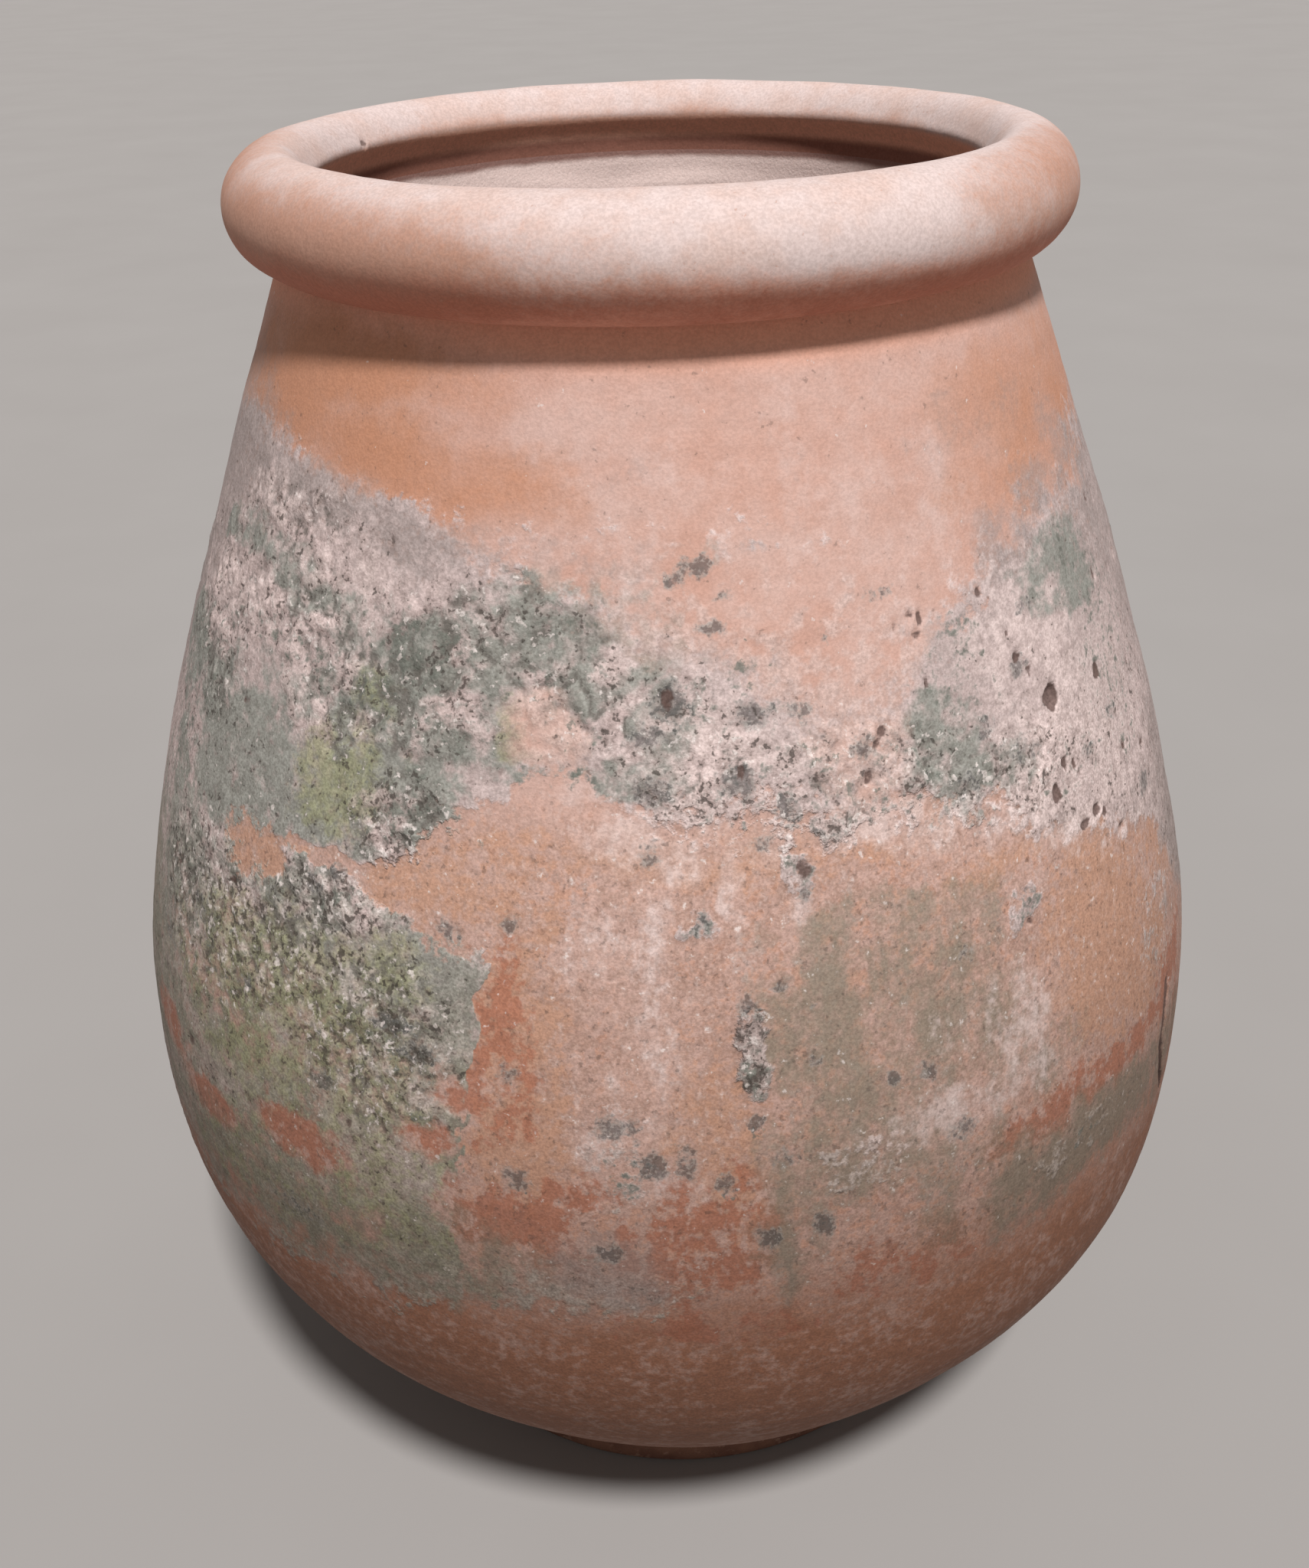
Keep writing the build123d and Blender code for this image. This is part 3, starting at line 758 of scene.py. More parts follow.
clayColours = {
    "pinkClay": colour(197, 154, 138),
    "paleClay": colour(203, 170, 159),
    "tanClay": colour(188, 132, 102),
    # painted warm bounce light, laid only in the rim's shadow on the neck
    "neckShadowWarmth": colour(222, 158, 130),
    "bellyPink": colour(196, 162, 150),
    "bellyBrown": colour(172, 138, 124),
    "bellyOrange": colour(190, 145, 124),
    "bellyPale": colour(206, 174, 161),
    "bellyShade": colour(140, 104, 90),
    "orangeClay": colour(187, 144, 121),
    "rustClay": colour(170, 110, 86),
    "brownClay": colour(171, 121, 96),
    "olive": colour(139, 127, 112),
    "lime": colour(216, 196, 191),
    "lowCrust": colour(170, 158, 149),
    "lowLump": colour(203, 187, 180),
    "thinFilm": colour(204, 180, 172),
    "limeCrust": colour(198, 178, 174),
    "greyCrust": colour(157, 143, 139),
    "lichen": colour(140, 142, 134),
    "lowLichen": colour(140, 137, 121),
    "darkLichen": colour(106, 108, 100),
    "moss": colour(149, 149, 112),
    # painted shade in the creases between the crust's lumps
    "gap": colour(104, 98, 92),
    "spotEdge": colour(150, 145, 140),
    "spotHeart": colour(86, 83, 82),
    "smudge": colour(120, 104, 99),
    # dark of the pits, chips and crack: partly their own dark clay, partly painted shade in them
    "pit": colour(96, 75, 69),
    "speck": colour(74, 67, 62),
    "fleck": colour(226, 214, 209),
    # paler near the mouth: partly a pale lime bloom, partly painted light where light comes in through the
    # mouth
    "insidePale": colour(244, 220, 212),
    "insideClay": colour(206, 168, 152),
    "insideShade": colour(192, 140, 118),
    "insideDirt": colour(130, 108, 93),
    # painted warm bounce light in the unlit underside of the lip
    "lipUnder": colour(242, 186, 160),
    # painted shadow of the lip, on its own foot and on the top of the neck's inner wall
    "lipShade": colour(124, 77, 64),
    "rimPale": colour(213, 193, 188),
    "rimPink": colour(209, 183, 174),
    "rimTan": colour(182, 134, 112),
    # under the roll: partly tan clay, partly painted warm shade
    "rimUnder": colour(204, 138, 114),
    # darker under the roll where the tan stain lies: partly tan clay, partly painted shade
    "rimUnderTanAndShade": colour(170, 104, 82),
    "footClay": colour(128, 90, 72),
    "footDark": colour(108, 72, 58),
    "footScuff": colour(158, 124, 106),
}


# Heights in metres between which one look of the wall gives way to the next
lookHeights = {
    "lowDarkeningEnds": (0.15, 0.4),
    "footEnds": (0.19, 0.24),
    "lowCrustEnds": (0.23, 0.36),
    "greenLichenEnds": (0.27, 0.39),
    "limeLumpsStart": (0.35, 0.39),
    "bellyEnds": (0.385, 0.44),
    # the rim's shadow band on the neck, where warm bounce light is painted
    "rimShadowBand": (0.541, 0.553),
    "insideDirtEnds": (0.04, 0.26),
    # where the inner wall turns paler with painted light near the mouth
    "insidePales": (0.47, 0.53),
    # where the painted shadow of the lip ends on the neck's inner wall
    "lipShades": (0.5665, 0.5695),
}

# What the red, green and blue beneath are multiplied by, in dark grains and then in pale ones
grainTints = {
    # the wall darkened towards the bottom
    "lowDarkening": (0.43, 0.39, 0.36, 1),
    "crumbs": ((0.66, 0.64, 0.62, 1), (1.16, 1.16, 1.16, 1)),
    "sand": ((0.8, 0.79, 0.78, 1), (1.14, 1.14, 1.14, 1)),
    "rimGrain": ((0.75, 0.73, 0.71, 1), (1.12, 1.12, 1.12, 1)),
    "rimSand": ((0.82, 0.8, 0.79, 1), (1.12, 1.12, 1.12, 1)),
}


def wallNoises(bench):
    # the noises and masks that the wall's layers share; noises come in pairs, so that two edges don't run alike
    n = SimpleNamespace()
    n.grain, n.tiny = bench.noise(1.6, 2), bench.noise(2.4, 2, shift=7.7)
    n.sand = bench.noise(1.05, 1, shift=2.3)
    n.speckle, n.otherSpeckle = bench.noise(3.6), bench.noise(3.4, shift=3.1)
    n.clump, n.otherClump = bench.noise(8.5), bench.noise(7.5, shift=5.3)
    n.cloud, n.drip = bench.noise(30, 4), bench.noise(10, 4, (1, 1, 0.2))
    n.blotch = bench.noise(17, 3, shift=9.1) * 5.0 + n.otherSpeckle * 1.6
    n.edge = n.clump * 2.6 + n.speckle * 4.2
    n.otherEdge = n.otherClump * 2.6 + n.otherSpeckle * 4.2
    n.up = bench.node("ShaderNodeSeparateXYZ", {}, {"Vector": bench.places()}, "Z")
    n.belly = 1 - bench.rise(n.up + n.cloud * 0.05, *lookHeights["bellyEnds"])
    n.foot = 1 - bench.rise(n.up + n.cloud * 0.05 + n.clump * 0.04, *lookHeights["footEnds"])
    n.upper = bench.rise(n.up + n.cloud * 0.04, *lookHeights["limeLumpsStart"])
    n.haze = bench.field("haze") + n.otherEdge * 0.4
    n.faint = bench.rise(bench.field("thin"), -0.7, 0.2)
    n.thin = bench.rise(bench.field("thin") + n.otherEdge * 0.3, -0.2, 0.6) * n.upper
    n.rugged = bench.rise(bench.field("rugged") + n.clump * 1.5, -0.5, 0.7)
    firm = (1 - bench.rise(n.haze, -0.7, 0.4) * 0.62) * (1 - n.faint * 0.6)
    n.crust = bench.rise((bench.field("crust") + n.edge * 0.5 + n.tiny * 1.6) * firm, -0.28, 0.4)
    n.lichen = bench.field("lichen") + n.otherEdge * 0.7 - n.blotch * (n.rugged * 0.6 + 0.4)
    n.lichen = bench.rise(n.lichen, -0.7, 0.8)
    n.dark = bench.field("darkSpecks") * 0.8 + n.edge * 0.9 + n.tiny * 2.0
    return n


def smoothClay(bench, n):
    # the shoulder: pink and pale clay in clouds, tan where rain has stained it, and a painted warm bounce light
    # in the rim's shadow on the neck
    c = clayColours
    clay = bench.lay(c["pinkClay"], c["paleClay"], n.cloud + n.clump * 0.3, -0.22, 0.26)
    tan = bench.rise(bench.field("tanStain") + n.cloud * 1.2 + n.otherEdge * 0.12, -0.5, 1.0)
    clay = bench.blend(tan * 0.92, clay, c["tanClay"])
    # painted warm bounce light in the rim's shadow on the neck, less where the tan stain lies
    inRimShadow = bench.rise(n.up + n.cloud * 0.01, *lookHeights["rimShadowBand"])
    return bench.blend(inRimShadow * (1 - tan * 0.9) * 0.85, clay, c["neckShadowWarmth"])


def mottledClay(bench, n):
    # the belly: pink and brown, with orange clay showing through and lime run down over it
    c = clayColours
    clay = bench.lay(c["bellyPink"], c["bellyBrown"], n.otherEdge + n.cloud * 2.0, -0.6, 0.6)
    clay = bench.lay(clay, c["bellyOrange"], n.edge - n.otherEdge * 0.6, 0.0, 0.8, 0.75)
    return bench.lay(clay, c["lime"], n.drip * 3.0 + n.otherSpeckle * 4.0, 0.2, 1.0, 0.4)


def stainedClay(bench, n, clay):
    # bared orange clay, the foot's brown, grit, rust and algae, and thin films of lime and of grey haze
    c = clayColours
    clay = bench.lay(clay, c["orangeClay"], bench.field("orange") + n.edge * 0.5, -0.4, 0.8, 0.85)
    footClay = bench.lay(c["brownClay"], c["bellyPink"], n.otherEdge * 0.6 + n.cloud * 2.0, -0.2, 0.7, 0.85)
    clay = bench.blend(n.foot, clay, footClay)
    grit = n.tiny * 3.0 + (n.otherSpeckle - n.speckle) * 4.5
    gritty = (n.belly - n.foot * 0.8) * 0.45
    clay = bench.lay(clay, c["bellyPale"], grit + n.otherClump * 2.0, 0.3, 1.2, gritty)
    clay = bench.lay(clay, c["bellyShade"], n.otherClump - grit * 0.5, 0.3, 0.7, n.belly * 0.4)
    rust = bench.field("rust") + n.otherEdge * 0.7 + n.drip * 2.0
    clay = bench.lay(clay, c["rustClay"], rust, 0.0, 0.8, 0.8)
    olive = bench.field("olive") + n.otherEdge * 0.45 + n.drip * 2.2
    clay = bench.lay(clay, c["olive"], olive, -0.6, 1.3, 0.86)
    film = bench.field("limeFilm") + n.edge * 0.5 + n.drip * 1.5
    clay = bench.lay(clay, c["lime"], film, -0.1, 1.1, n.belly * 0.55 + 0.2)
    return bench.lay(clay, c["greyCrust"], n.haze, 0.0, 1.1, 0.5)


def growthColour(bench, n):
    # lime and grey crust, lichen and moss on it, pale lumps, dark specks, and painted shade in the gaps between
    # the lumps
    c = clayColours
    growth = bench.lay(c["limeCrust"], c["greyCrust"], n.otherEdge * 0.5 + n.cloud * 3.0, -0.4, 0.9, 0.6)
    lowDown = 1 - bench.rise(n.up + n.otherEdge * 0.01, *lookHeights["lowCrustEnds"])
    growth = bench.blend(lowDown, growth, c["lowCrust"])
    growth = bench.lay(growth, c["greyCrust"], n.haze, -0.3, 0.9, 0.8)
    growth = bench.lay(growth, c["lime"], bench.field("limeFilm") + n.edge * 0.6, -0.2, 0.9, 0.75)
    tint = bench.lay(c["lowLichen"], c["lichen"], n.up + n.cloud * 0.1, *lookHeights["greenLichenEnds"])
    growth = bench.blend(n.lichen * 0.86, growth, tint)
    moss = bench.field("moss") + (n.edge - n.otherEdge) * 0.45
    growth = bench.lay(growth, c["moss"], moss, -0.3, 1.0, 0.7)
    paleLump = n.blotch + (bench.field("lump") - 0.3) * 1.5 - n.lichen * 0.4
    growth = bench.lay(growth, c["lime"], paleLump, 0.0, 1.0, n.rugged * (n.upper * 0.5 + 0.1))
    lowLump = n.otherClump * 7.0 + n.speckle * 4.0 + (n.blotch - n.edge) * 0.25
    growth = bench.lay(growth, c["lowLump"], lowLump, 0.1, 1.2, (1 - n.upper) * (n.rugged * 0.55 + 0.1))
    growth = bench.lay(growth, c["darkLichen"], n.dark, 0.2, 1.1, 0.75)
    gap = bench.field("gap") + n.tiny * 2.0 + (n.lichen - 0.5) * 0.4
    # painted shade in the gaps between the lumps
    growth = bench.lay(growth, c["gap"], gap, 0.1, 1.0, 0.8)
    return bench.blend(n.thin * (1 - n.lichen) * 0.85, growth, c["thinFilm"])


def speckledSkin(bench, n, skin):
    # the placed spots, pale flecks and dark specks, thick in rugged crust and few elsewhere, and the pits and
    # the crack darkened: partly their own dark clay, partly painted shade
    c = clayColours
    skin = bench.lay(skin, c["darkLichen"], n.dark, 0.9, 1.3, 0.7)
    spot = bench.field("spots") + n.speckle * 2.8 + n.tiny * 1.6 + n.drip * 1.5
    spotColour = bench.lay(c["spotEdge"], c["spotHeart"], spot + n.grain * 3.0, 0.5, 1.1)
    skin = bench.lay(skin, spotColour, spot, 0.05, 0.95, 0.75)
    thick = n.rugged * n.crust
    fleck = n.otherSpeckle * 5.0 + n.tiny * 2.0 + thick * 0.55 + n.belly * 0.25 - n.foot * 0.6
    skin = bench.lay(skin, c["fleck"], fleck, 1.1, 1.5, 0.6)
    speck = n.tiny * -6.0 - n.otherClump * 3.0 + thick * 0.6 + n.belly * 0.35 - n.foot * 1.2
    skin = bench.lay(skin, c["speck"], speck, 1.15, 1.75, n.crust * 0.4 + 0.35)
    smudge = n.otherClump * -3.6 - n.otherSpeckle * 3.0 + n.cloud * 2.0
    skin = bench.lay(skin, c["smudge"], smudge, 0.5, 1.3, n.crust * 0.42)
    # pits and crack darkened by depth: partly dark clay, partly painted shade
    return bench.lay(skin, c["pit"], bench.field("pit") + n.speckle * 1.4, 0.25, 0.8, 0.9)


def insideColour(bench, n):
    # the inside of the wall: paler near the mouth, partly a pale lime bloom and partly painted light; dirty
    # towards the bottom; and a painted shadow where it meets the lip
    c = clayColours
    clay = bench.lay(c["insideClay"], c["insideShade"], n.cloud, -0.15, 0.2)
    # partly pale bloom and partly painted light near the mouth
    clay = bench.lay(clay, c["insidePale"], n.up + n.cloud * 0.04, *lookHeights["insidePales"])
    dirt = 1 - bench.rise(n.up + n.cloud * 0.08, *lookHeights["insideDirtEnds"])
    clay = bench.blend(dirt, clay, c["insideDirt"])
    # painted shadow of the lip on the top of the neck's inner wall
    return bench.lay(clay, c["lipShade"], n.up + n.cloud * 0.004, *lookHeights["lipShades"], 0.85)


def wallMaterial():
    # clay and its stains under what grows on it, then specks, darker towards the foot, and grain over
    # everything
    bench = Bench(bpy.data.materials.new("WeatheredClay"))
    n = wallNoises(bench)
    clay = stainedClay(bench, n, bench.blend(n.belly, smoothClay(bench, n), mottledClay(bench, n)))
    skin = bench.blend(n.crust * (1 - n.thin * 0.4), clay, growthColour(bench, n))
    skin = speckledSkin(bench, n, skin)
    # darker towards the bottom of the wall
    skin = bench.stain(1 - bench.rise(n.up, *lookHeights["lowDarkeningEnds"]), skin, grainTints["lowDarkening"])
    crumb = n.speckle * 0.4 + n.tiny * 0.3 + n.otherClump * 0.3
    crumbly = n.crust * (n.rugged * 0.3 + 0.4) + n.belly * 0.2 + 0.12
    skin = bench.dapple(crumbly, skin, crumb, -0.12, 0.1, grainTints["crumbs"])
    skin = bench.blend(bench.field("inside"), skin, insideColour(bench, n))
    sandy = n.crust * 0.3 + n.belly * 0.3 + 0.3
    skin = bench.dapple(sandy, skin, n.sand, -0.14, 0.14, grainTints["sand"])
    rough = n.crust * 0.1 + n.speckle * 0.1 + 0.84
    crumbs = n.speckle * 0.6 + n.tiny * 0.5 + 0.55
    crustRelief = n.crust * (n.rugged * 0.75 + 0.3) * (1 - n.faint * 0.6) * crumbs
    return bench.finish(skin, rough, n.grain * 0.2 + n.sand * 0.12 + crustRelief, 0.8)


def rimMaterial():
    # pale film over tan clay; under the roll a warmer colour, partly tan clay and partly painted shade; under
    # the lip's edge painted warm bounce light, and a painted shadow at its foot
    bench = Bench(bpy.data.materials.new("RimClay"))
    c = clayColours
    grain, sand = bench.noise(1.6, 2), bench.noise(1.05, 1, shift=2.3)
    speckle, clump, cloud = bench.noise(3.2), bench.noise(8), bench.noise(34, 4)
    edge = clump * 1.8 + speckle * 2.2 + grain
    clay = bench.lay(c["rimPale"], c["rimPink"], cloud + clump * 0.4, -0.14, 0.16)
    stain = bench.field("tanStain") + cloud * 0.5 + edge * 0.4
    clay = bench.lay(clay, c["rimTan"], stain, -0.8, 1.1, 0.9)
    # under the roll: partly tan clay and partly painted shade, darker where the tan stain lies
    underClayAndShade = bench.lay(c["rimUnder"], c["rimUnderTanAndShade"], stain, -0.3, 0.8)
    clay = bench.lay(clay, underClayAndShade, bench.field("under") + cloud * 0.3 + edge * 0.06, 0.0, 0.5, 0.9)
    clay = bench.lay(clay, c["rimTan"], edge, 0.3, 1.1, 0.12)
    # painted warm bounce light under the lip's edge, then a painted shadow at its foot
    inLip = bench.field("inLip")
    clay = bench.lay(bench.lay(clay, c["lipUnder"], inLip, 0.0, 1.0), c["lipShade"], inLip, 1.0, 2.0, 0.9)
    clay = bench.lay(clay, c["insideShade"], speckle * -5.0 - grain * 3.0, 1.3, 1.7, 0.4)
    # the chips darkened: partly dark clay, partly painted shade
    clay = bench.lay(clay, c["pit"], bench.field("pit") + speckle * 0.3, 0.3, 0.7, 0.8)
    clay = bench.dapple(0.25, clay, grain * 0.5 + speckle * 0.5, -0.14, 0.14, grainTints["rimGrain"])
    clay = bench.dapple(0.4, clay, sand, -0.14, 0.14, grainTints["rimSand"])
    return bench.finish(clay, clump * 0.14 + 0.76, grain * 0.3 + speckle * 0.2, 0.25)


def baseMaterial():
    # the foot's dark clay, scuffed paler on its edge, and dusty inside
    bench = Bench(bpy.data.materials.new("BaseClay"))
    c = clayColours
    grain, speckle, cloud = bench.noise(1.6, 2), bench.noise(4), bench.noise(26, 4)
    clay = bench.lay(c["footClay"], c["footDark"], cloud, -0.12, 0.14)
    clay = bench.lay(clay, c["footScuff"], speckle + cloud * 0.5, 0.06, 0.22, 0.6)
    inside = bench.lay(c["insideDirt"], c["insideShade"], cloud + speckle * 0.5, -0.2, 0.3)
    clay = bench.blend(bench.field("inside"), clay, inside)
    return bench.finish(clay, speckle * 0.1 + 0.88, grain * 0.5 + speckle * 0.4, 0.7)


wallClay, rimClay, baseClay = wallMaterial(), rimMaterial(), baseMaterial()
print("materials made")


# The six lifts of the wall

liftNames = ("foot_wall", "belly_wall", "shoulder_wall", "upper_wall", "collar_wall", "neck_wall")


def makeLift(index):
    # up the outside, over the upper joint, down the inside and back under the lower joint
    seams = wallShape["seams"]
    loops = [outerWall.ring(row) for row in range(rowBreaks[index], rowBreaks[index + 1] + 1)]
    if index == len(liftNames) - 1:
        loops.append(plainRing(*wallShape["tenon"], len(columns)))
        top = wallShape["neckInsideTop"]
    else:
        loops.append(plainRing(*seams[index][1:3], len(columns)))
        top = seams[index][3]
    low = seams[index - 1][3] if index else wallShape["coilTop"][1]
    loops += insideSkin(top, low).rings()
    if index:
        loops.append(plainRing(*seams[index - 1][1:3], len(columns)))
    else:
        corners = wallShape["discCorner"], wallShape["discShoulder"]
        loops += [plainRing(*corner, len(insideColumns)) for corner in corners]
    closedPiece(liftNames[index] + "_clay", loops, True, wallClay, liftNames[index])


for lift in range(len(liftNames)):
    makeLift(lift)


# The rolled rim

rimShape = {
    "rowStep": 1.45,
    "rollRadius": 21.0,
    "rollMiddle": (144.3, 579.0),
    # (radius, height) down from the crown to the lip's edge, and back under it to the neck's inner face
    "mouthLip": (
        (140.6, 599.2), (136.9, 596.9), (133.8, 593.6), (131.5, 590.2), (130.3, 587.6), (130.7, 585.7),
        (132.6, 582.3), (134.6, 578.2), (135.4, 574.6), (135.5, 571.0),
    ),
    # (angle, share of the way round the roll, half width in degrees, half share, weight)
    "tanStain": (
        (-50, 0.24, 44, 0.26, 1.5), (-86, 0.34, 28, 0.28, 1.2), (-24, 0.18, 34, 0.12, 0.8),
        (70, 0.26, 26, 0.16, 0.8), (64, 0.42, 24, 0.18, 0.7), (30, 0.14, 44, 0.1, 0.6),
        (-124, 0.28, 34, 0.24, 0.8), (150, 0.26, 30, 0.2, 0.7), (104, 0.24, 26, 0.16, 0.6),
        # these three ring the lip's inner face: partly tan clay and partly painted shade
        (180, 0.9, 90, 0.1, 0.8), (60, 0.92, 90, 0.08, 0.8), (-60, 0.92, 90, 0.08, 0.8),
    ),
    # (angle, share, half width in millimetres, half height in millimetres, depth), and the radius about there
    "chips": ((-114, 0.81, 2.6, 2.0, 0.7), (120, 0.32, 3.0, 2.2, 0.7), (-168, 0.5, 3.6, 2.6, 0.8)),
    "chipRadius": 134,
    # the share of the way round that counts as under the roll, and the share where the lip begins
    "underShare": 0.32,
    "lipShare": 0.6,
    # between these heights the light goes at the lip's edge and a painted warm bounce light begins, and the
    # painted shadow deepens at its foot
    "lipEdge": (584.5, 588.0),
    "lipFoot": (574.5, 580.5),
}


def rollOutline():
    # one round from the crease out and up to the crown, then the lip's own points into the mouth
    middleR, middleZ = rimShape["rollMiddle"]
    roll = rimShape["rollRadius"]
    turn = np.linspace(math.atan2(creaseHeight - middleZ, creaseRadius - middleR), math.pi / 2, 15)
    lip = np.array(rimShape["mouthLip"])
    radii = np.concatenate([middleR + roll * np.cos(turn), lip[:, 0]])
    heights = np.concatenate([middleZ + roll * np.sin(turn), lip[:, 1]])
    knots = np.concatenate([[0], np.cumsum(np.hypot(np.diff(radii), np.diff(heights)))])
    fine = np.linspace(0, knots[-1], 600)
    return evenRows(splineThrough(knots, radii, fine), splineThrough(knots, heights, fine), rimShape["rowStep"])


def makeRim():
    # the roll's outline carried round the mouth, with its chips and the unevenness of the hand
    radius, height = rollOutline()
    length = np.hypot(np.diff(radius), np.diff(height)).sum()
    angle = columns[None, :] + 0 * radius[:, None]
    share = np.linspace(0, 1, len(radius))[:, None] + 0 * angle
    points = onJar(angle, radius[:, None], height[:, None])
    pit = np.zeros(angle.shape, np.float32)
    ragged = 0.2 * layeredNoise(points, 3, 2, 307)
    for centre, at, halfWidth, halfHeight, deep in rimShape["chips"]:
        across = angleGap(angle, centre) * math.radians(1) * rimShape["chipRadius"] / halfWidth
        gap = np.hypot(across, (share - at) * length / halfHeight)
        pit = np.maximum(pit, deep * (1 - rampUp(gap + ragged, 0.6, 1.15)))
    ends = rampUp(share, 0, 0.08) * (1 - rampUp(share, 0.92, 1))
    relief = 0.5 * layeredNoise(points, 70, 2, 311) + 0.1 * layeredNoise(points, 18, 2, 313)
    relief = ends * (relief + 0.4 * handWork["grain"] * slopeNoise(points, 3.4, 317)) - pit
    skin = Skin(angle, radius, height, relief)
    sway = layeredNoise(points, 30, 3, 331)
    stains = patchField(angle + 4 * sway, share + 0.04 * sway, rimShape["tanStain"])
    # 0 on the roll, 1 under the lip's edge where warm bounce light is painted, 2 at the foot of the lip where a
    # painted shadow lies
    lipDepth = 2 - rampUp(height, *rimShape["lipEdge"]) - rampUp(height, *rimShape["lipFoot"])
    skin.marks = {
        "tanStain": np.maximum(stains, -1), "under": 1 - share / rimShape["underShare"], "pit": pit,
        "inLip": (share > rimShape["lipShare"]) * lipDepth[:, None],
    }
    loops = skin.rings() + [plainRing(*wallShape["tenon"], len(columns))]
    closedPiece("rolled_rim_clay", loops, True, rimClay, "rolled_rim")


makeRim()


# The base disc and the coil pressed into its corner

baseShape = {
    "floorRadii": (107.0, 96.0, 84.0, 72.0, 60.0, 48.0, 36.0, 25.0, 15.0, 7.0),
    "undersideRadii": (30.0, 60.0, 90.0, 120.0, 140.0),
    "side": (
        (146.2, 0.0), (147.6, 0.3), (148.7, 1.1), (149.2, 2.4), (149.3, 4.5), (149.3, 7.0), (149.3, 9.5),
        (149.3, 12.0),
    ),
    # how deep thumbs marked the floor of the jar, and the radii between which the marks die away at the coil
    "floorMarks": 0.7,
    "floorMarksFade": (98, 106),
    "coilRows": 22,
    "coilHollow": 1.2,
    "thumbCount": 31,
    "thumbMarks": 0.45,
}


def floorLoop(radius, height, up):
    # one loop of the base's flat faces; the upper one dips and rises where thumbs spread the clay
    place, normal, mark = plainRing(radius, height, len(insideColumns))
    if up > 0:
        fade = 1 - rampUp(radius, *baseShape["floorMarksFade"])
        place[:, 2] += baseShape["floorMarks"] * fade * layeredNoise(list(place.T), 32, 3, 401)
        mark = {"inside": np.ones(len(place))}
    return place, normal * up, mark


def makeBase():
    # from the middle of the underside out, up the foot's edge, and in over the floor of the jar
    floorHeight = wallShape["discCorner"][1]
    loops = [poleRing(0.0, -1.0, {})]
    loops += [floorLoop(radius, 0.0, -1) for radius in baseShape["undersideRadii"]]
    radii, heights = np.array(baseShape["side"], float).T
    angle = insideColumns[None, :] + 0 * radii[:, None]
    loops += Skin(angle, radii, heights, 0 * angle).rings()
    loops += [floorLoop(*wallShape[corner], 1) for corner in ("discShoulder", "discCorner")]
    loops += [floorLoop(radius, floorHeight, 1) for radius in baseShape["floorRadii"]]
    loops.append(poleRing(floorHeight, 1.0, {"inside": np.ones(1)}))
    closedPiece("base_disc_clay", loops, False, baseClay, "base_disc")


def makeCoil():
    # under the coil, up against the wall, and down its thumbed inner face
    top, foot = np.array(wallShape["coilTop"]), np.array(wallShape["coilFoot"])
    along = np.linspace(0, 1, baseShape["coilRows"])
    radius, height = (top + (foot - top) * along[:, None]).T
    angle = insideColumns[None, :] + 0 * radius[:, None]
    points = onJar(angle, radius[:, None], height[:, None])
    thumbs = np.sin(np.radians(angle) * baseShape["thumbCount"] + 2 * layeredNoise(points, 60, 2, 421))
    relief = baseShape["thumbMarks"] * thumbs - baseShape["coilHollow"] + 0.5 * layeredNoise(points, 14, 2, 431)
    skin = Skin(angle, radius, height, np.sin(math.pi * along)[:, None] * relief)
    skin.marks = {"inside": np.ones_like(angle, np.float32)}
    loops = [plainRing(*wallShape["discCorner"], len(insideColumns))] + skin.rings()
    closedPiece("corner_coil_clay", loops, True, baseClay, "corner_coil")


makeBase()
makeCoil()


# The floor, light and camera

studio = {
    "floorColour": colour(152, 147, 144),
    "floorCloud": (0.6, 0.58, 0.56, 1),
    "backColour": colour(186, 181, 178),
    "floorHalfSize": 30.0,
    "sunStrength": 3.9,
    "sunElevation": 62.5,
    "sunToTheRight": 15.0,
    "sunWidth": 7.0,
    "skyStrength": 0.2,
    "skyColour": (1.0, 0.985, 0.97, 1),
}

cameraView = {
    "place": (0.0, -0.6548, 0.6833),
    "pitchDown": 30.117,
    "yaw": -0.409,
    "roll": -1.771,
    "lens": 35.96,
}


def makeFloor():
    # one large flat sheet, with a little cloud in its paint
    half = studio["floorHalfSize"]
    mesh = bpy.data.meshes.new("Floor")
    corners = [(-half, -half, 0), (half, -half, 0), (half, half, 0), (-half, half, 0)]
    mesh.from_pydata(corners, [], [(0, 1, 2, 3)])
    floor = bpy.data.objects.new("Floor", mesh)
    bpy.context.scene.collection.objects.link(floor)
    bench = Bench(bpy.data.materials.new("FloorPaint"))
    cloud = bench.noise(300, 3)
    tone = bench.blend((cloud + 0.5) * 0.12, studio["floorColour"], studio["floorCloud"])
    mesh.materials.append(bench.finish(tone, 0.9, cloud, 0.5))


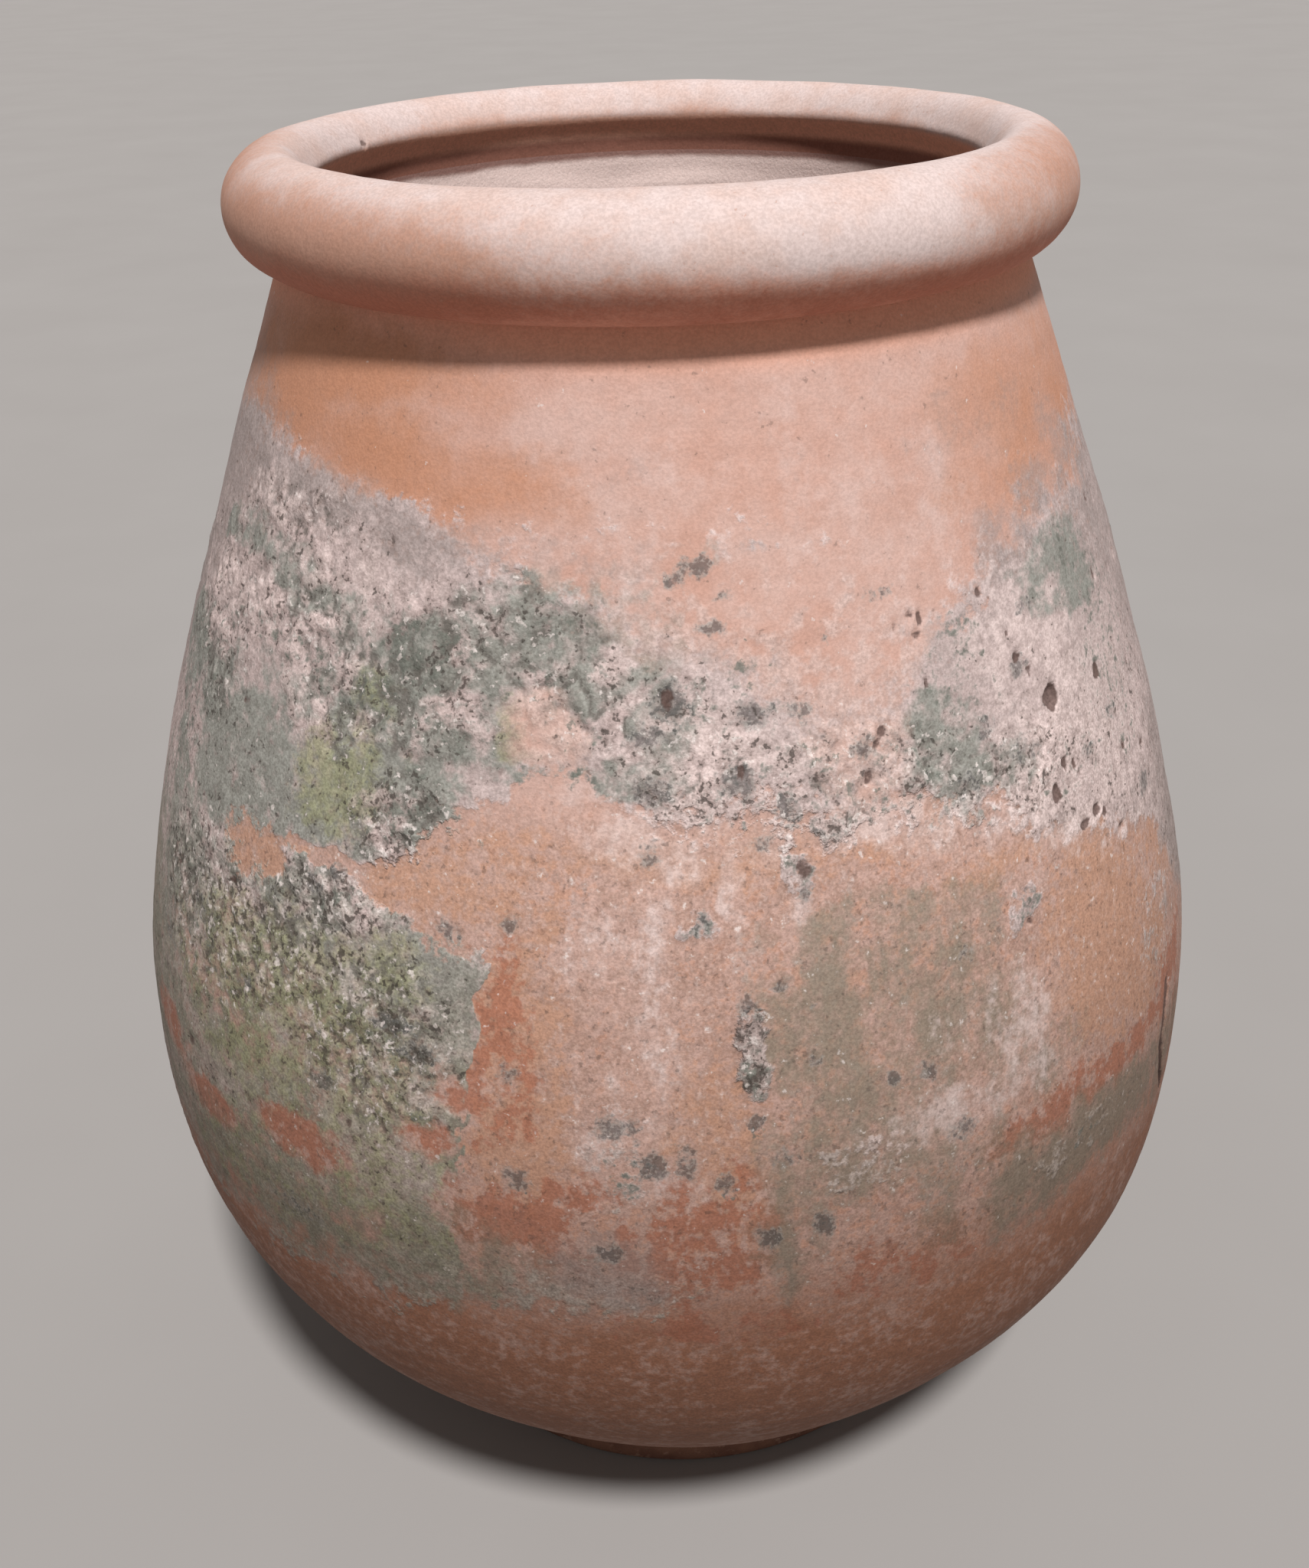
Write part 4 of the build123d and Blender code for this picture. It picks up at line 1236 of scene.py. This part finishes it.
def makeLight():
    # one high soft lamp to the front and right, and an even sky; the camera and mirrors see plain paint instead
    lamp = bpy.data.lights.new("HighLamp", "SUN")
    lamp.energy = studio["sunStrength"]
    lamp.angle = math.radians(studio["sunWidth"])
    lampObject = bpy.data.objects.new("HighLamp", lamp)
    bpy.context.scene.collection.objects.link(lampObject)
    tilt = math.radians(90 - studio["sunElevation"])
    lampObject.rotation_euler = (tilt, 0, math.radians(studio["sunToTheRight"]))
    world = bpy.data.worlds.new("Studio")
    bpy.context.scene.world = world
    bench = Bench(world)
    kinds = ("Is Camera Ray", "Is Glossy Ray", "Is Transmission Ray")
    rays = [bench.node("ShaderNodeLightPath", {}, {}, kind) for kind in kinds]
    direct = bench.sum("MAXIMUM", bench.sum("MAXIMUM", rays[0], rays[1]), rays[2])
    skyValues = {"Color": studio["skyColour"], "Strength": studio["skyStrength"]}
    sky = bench.node("ShaderNodeBackground", {}, skyValues)
    seen = bench.node("ShaderNodeBackground", {}, {"Color": studio["backColour"]})
    mixed = bench.node("ShaderNodeMixShader", {}, {0: direct, 1: sky, 2: seen})
    bench.node("ShaderNodeOutputWorld", {}, {"Surface": mixed})


def makeCamera():
    # forward from pitch and yaw, then the right and up of the picture turned by the roll
    pitch, yaw, roll = (math.radians(cameraView[key]) for key in ("pitchDown", "yaw", "roll"))
    forward = np.array([math.sin(yaw) * math.cos(pitch), math.cos(yaw) * math.cos(pitch), -math.sin(pitch)])
    level = np.cross(forward, [0, 0, 1])
    level = level / np.linalg.norm(level)
    upright = np.cross(level, forward)
    right = math.cos(roll) * level + math.sin(roll) * upright
    up = math.cos(roll) * upright - math.sin(roll) * level
    lens = bpy.data.cameras.new("View")
    lens.lens = cameraView["lens"]
    camera = bpy.data.objects.new("View", lens)
    bpy.context.scene.collection.objects.link(camera)
    turned = Matrix([list(row) for row in np.stack([right, up, -forward], 1)]).to_4x4()
    turned.translation = cameraView["place"]
    camera.matrix_world = turned
    bpy.context.scene.camera = camera


makeFloor()
makeLight()
makeCamera()
bpy.context.scene.view_settings.view_transform = "Standard"
print("floor, light and camera set")
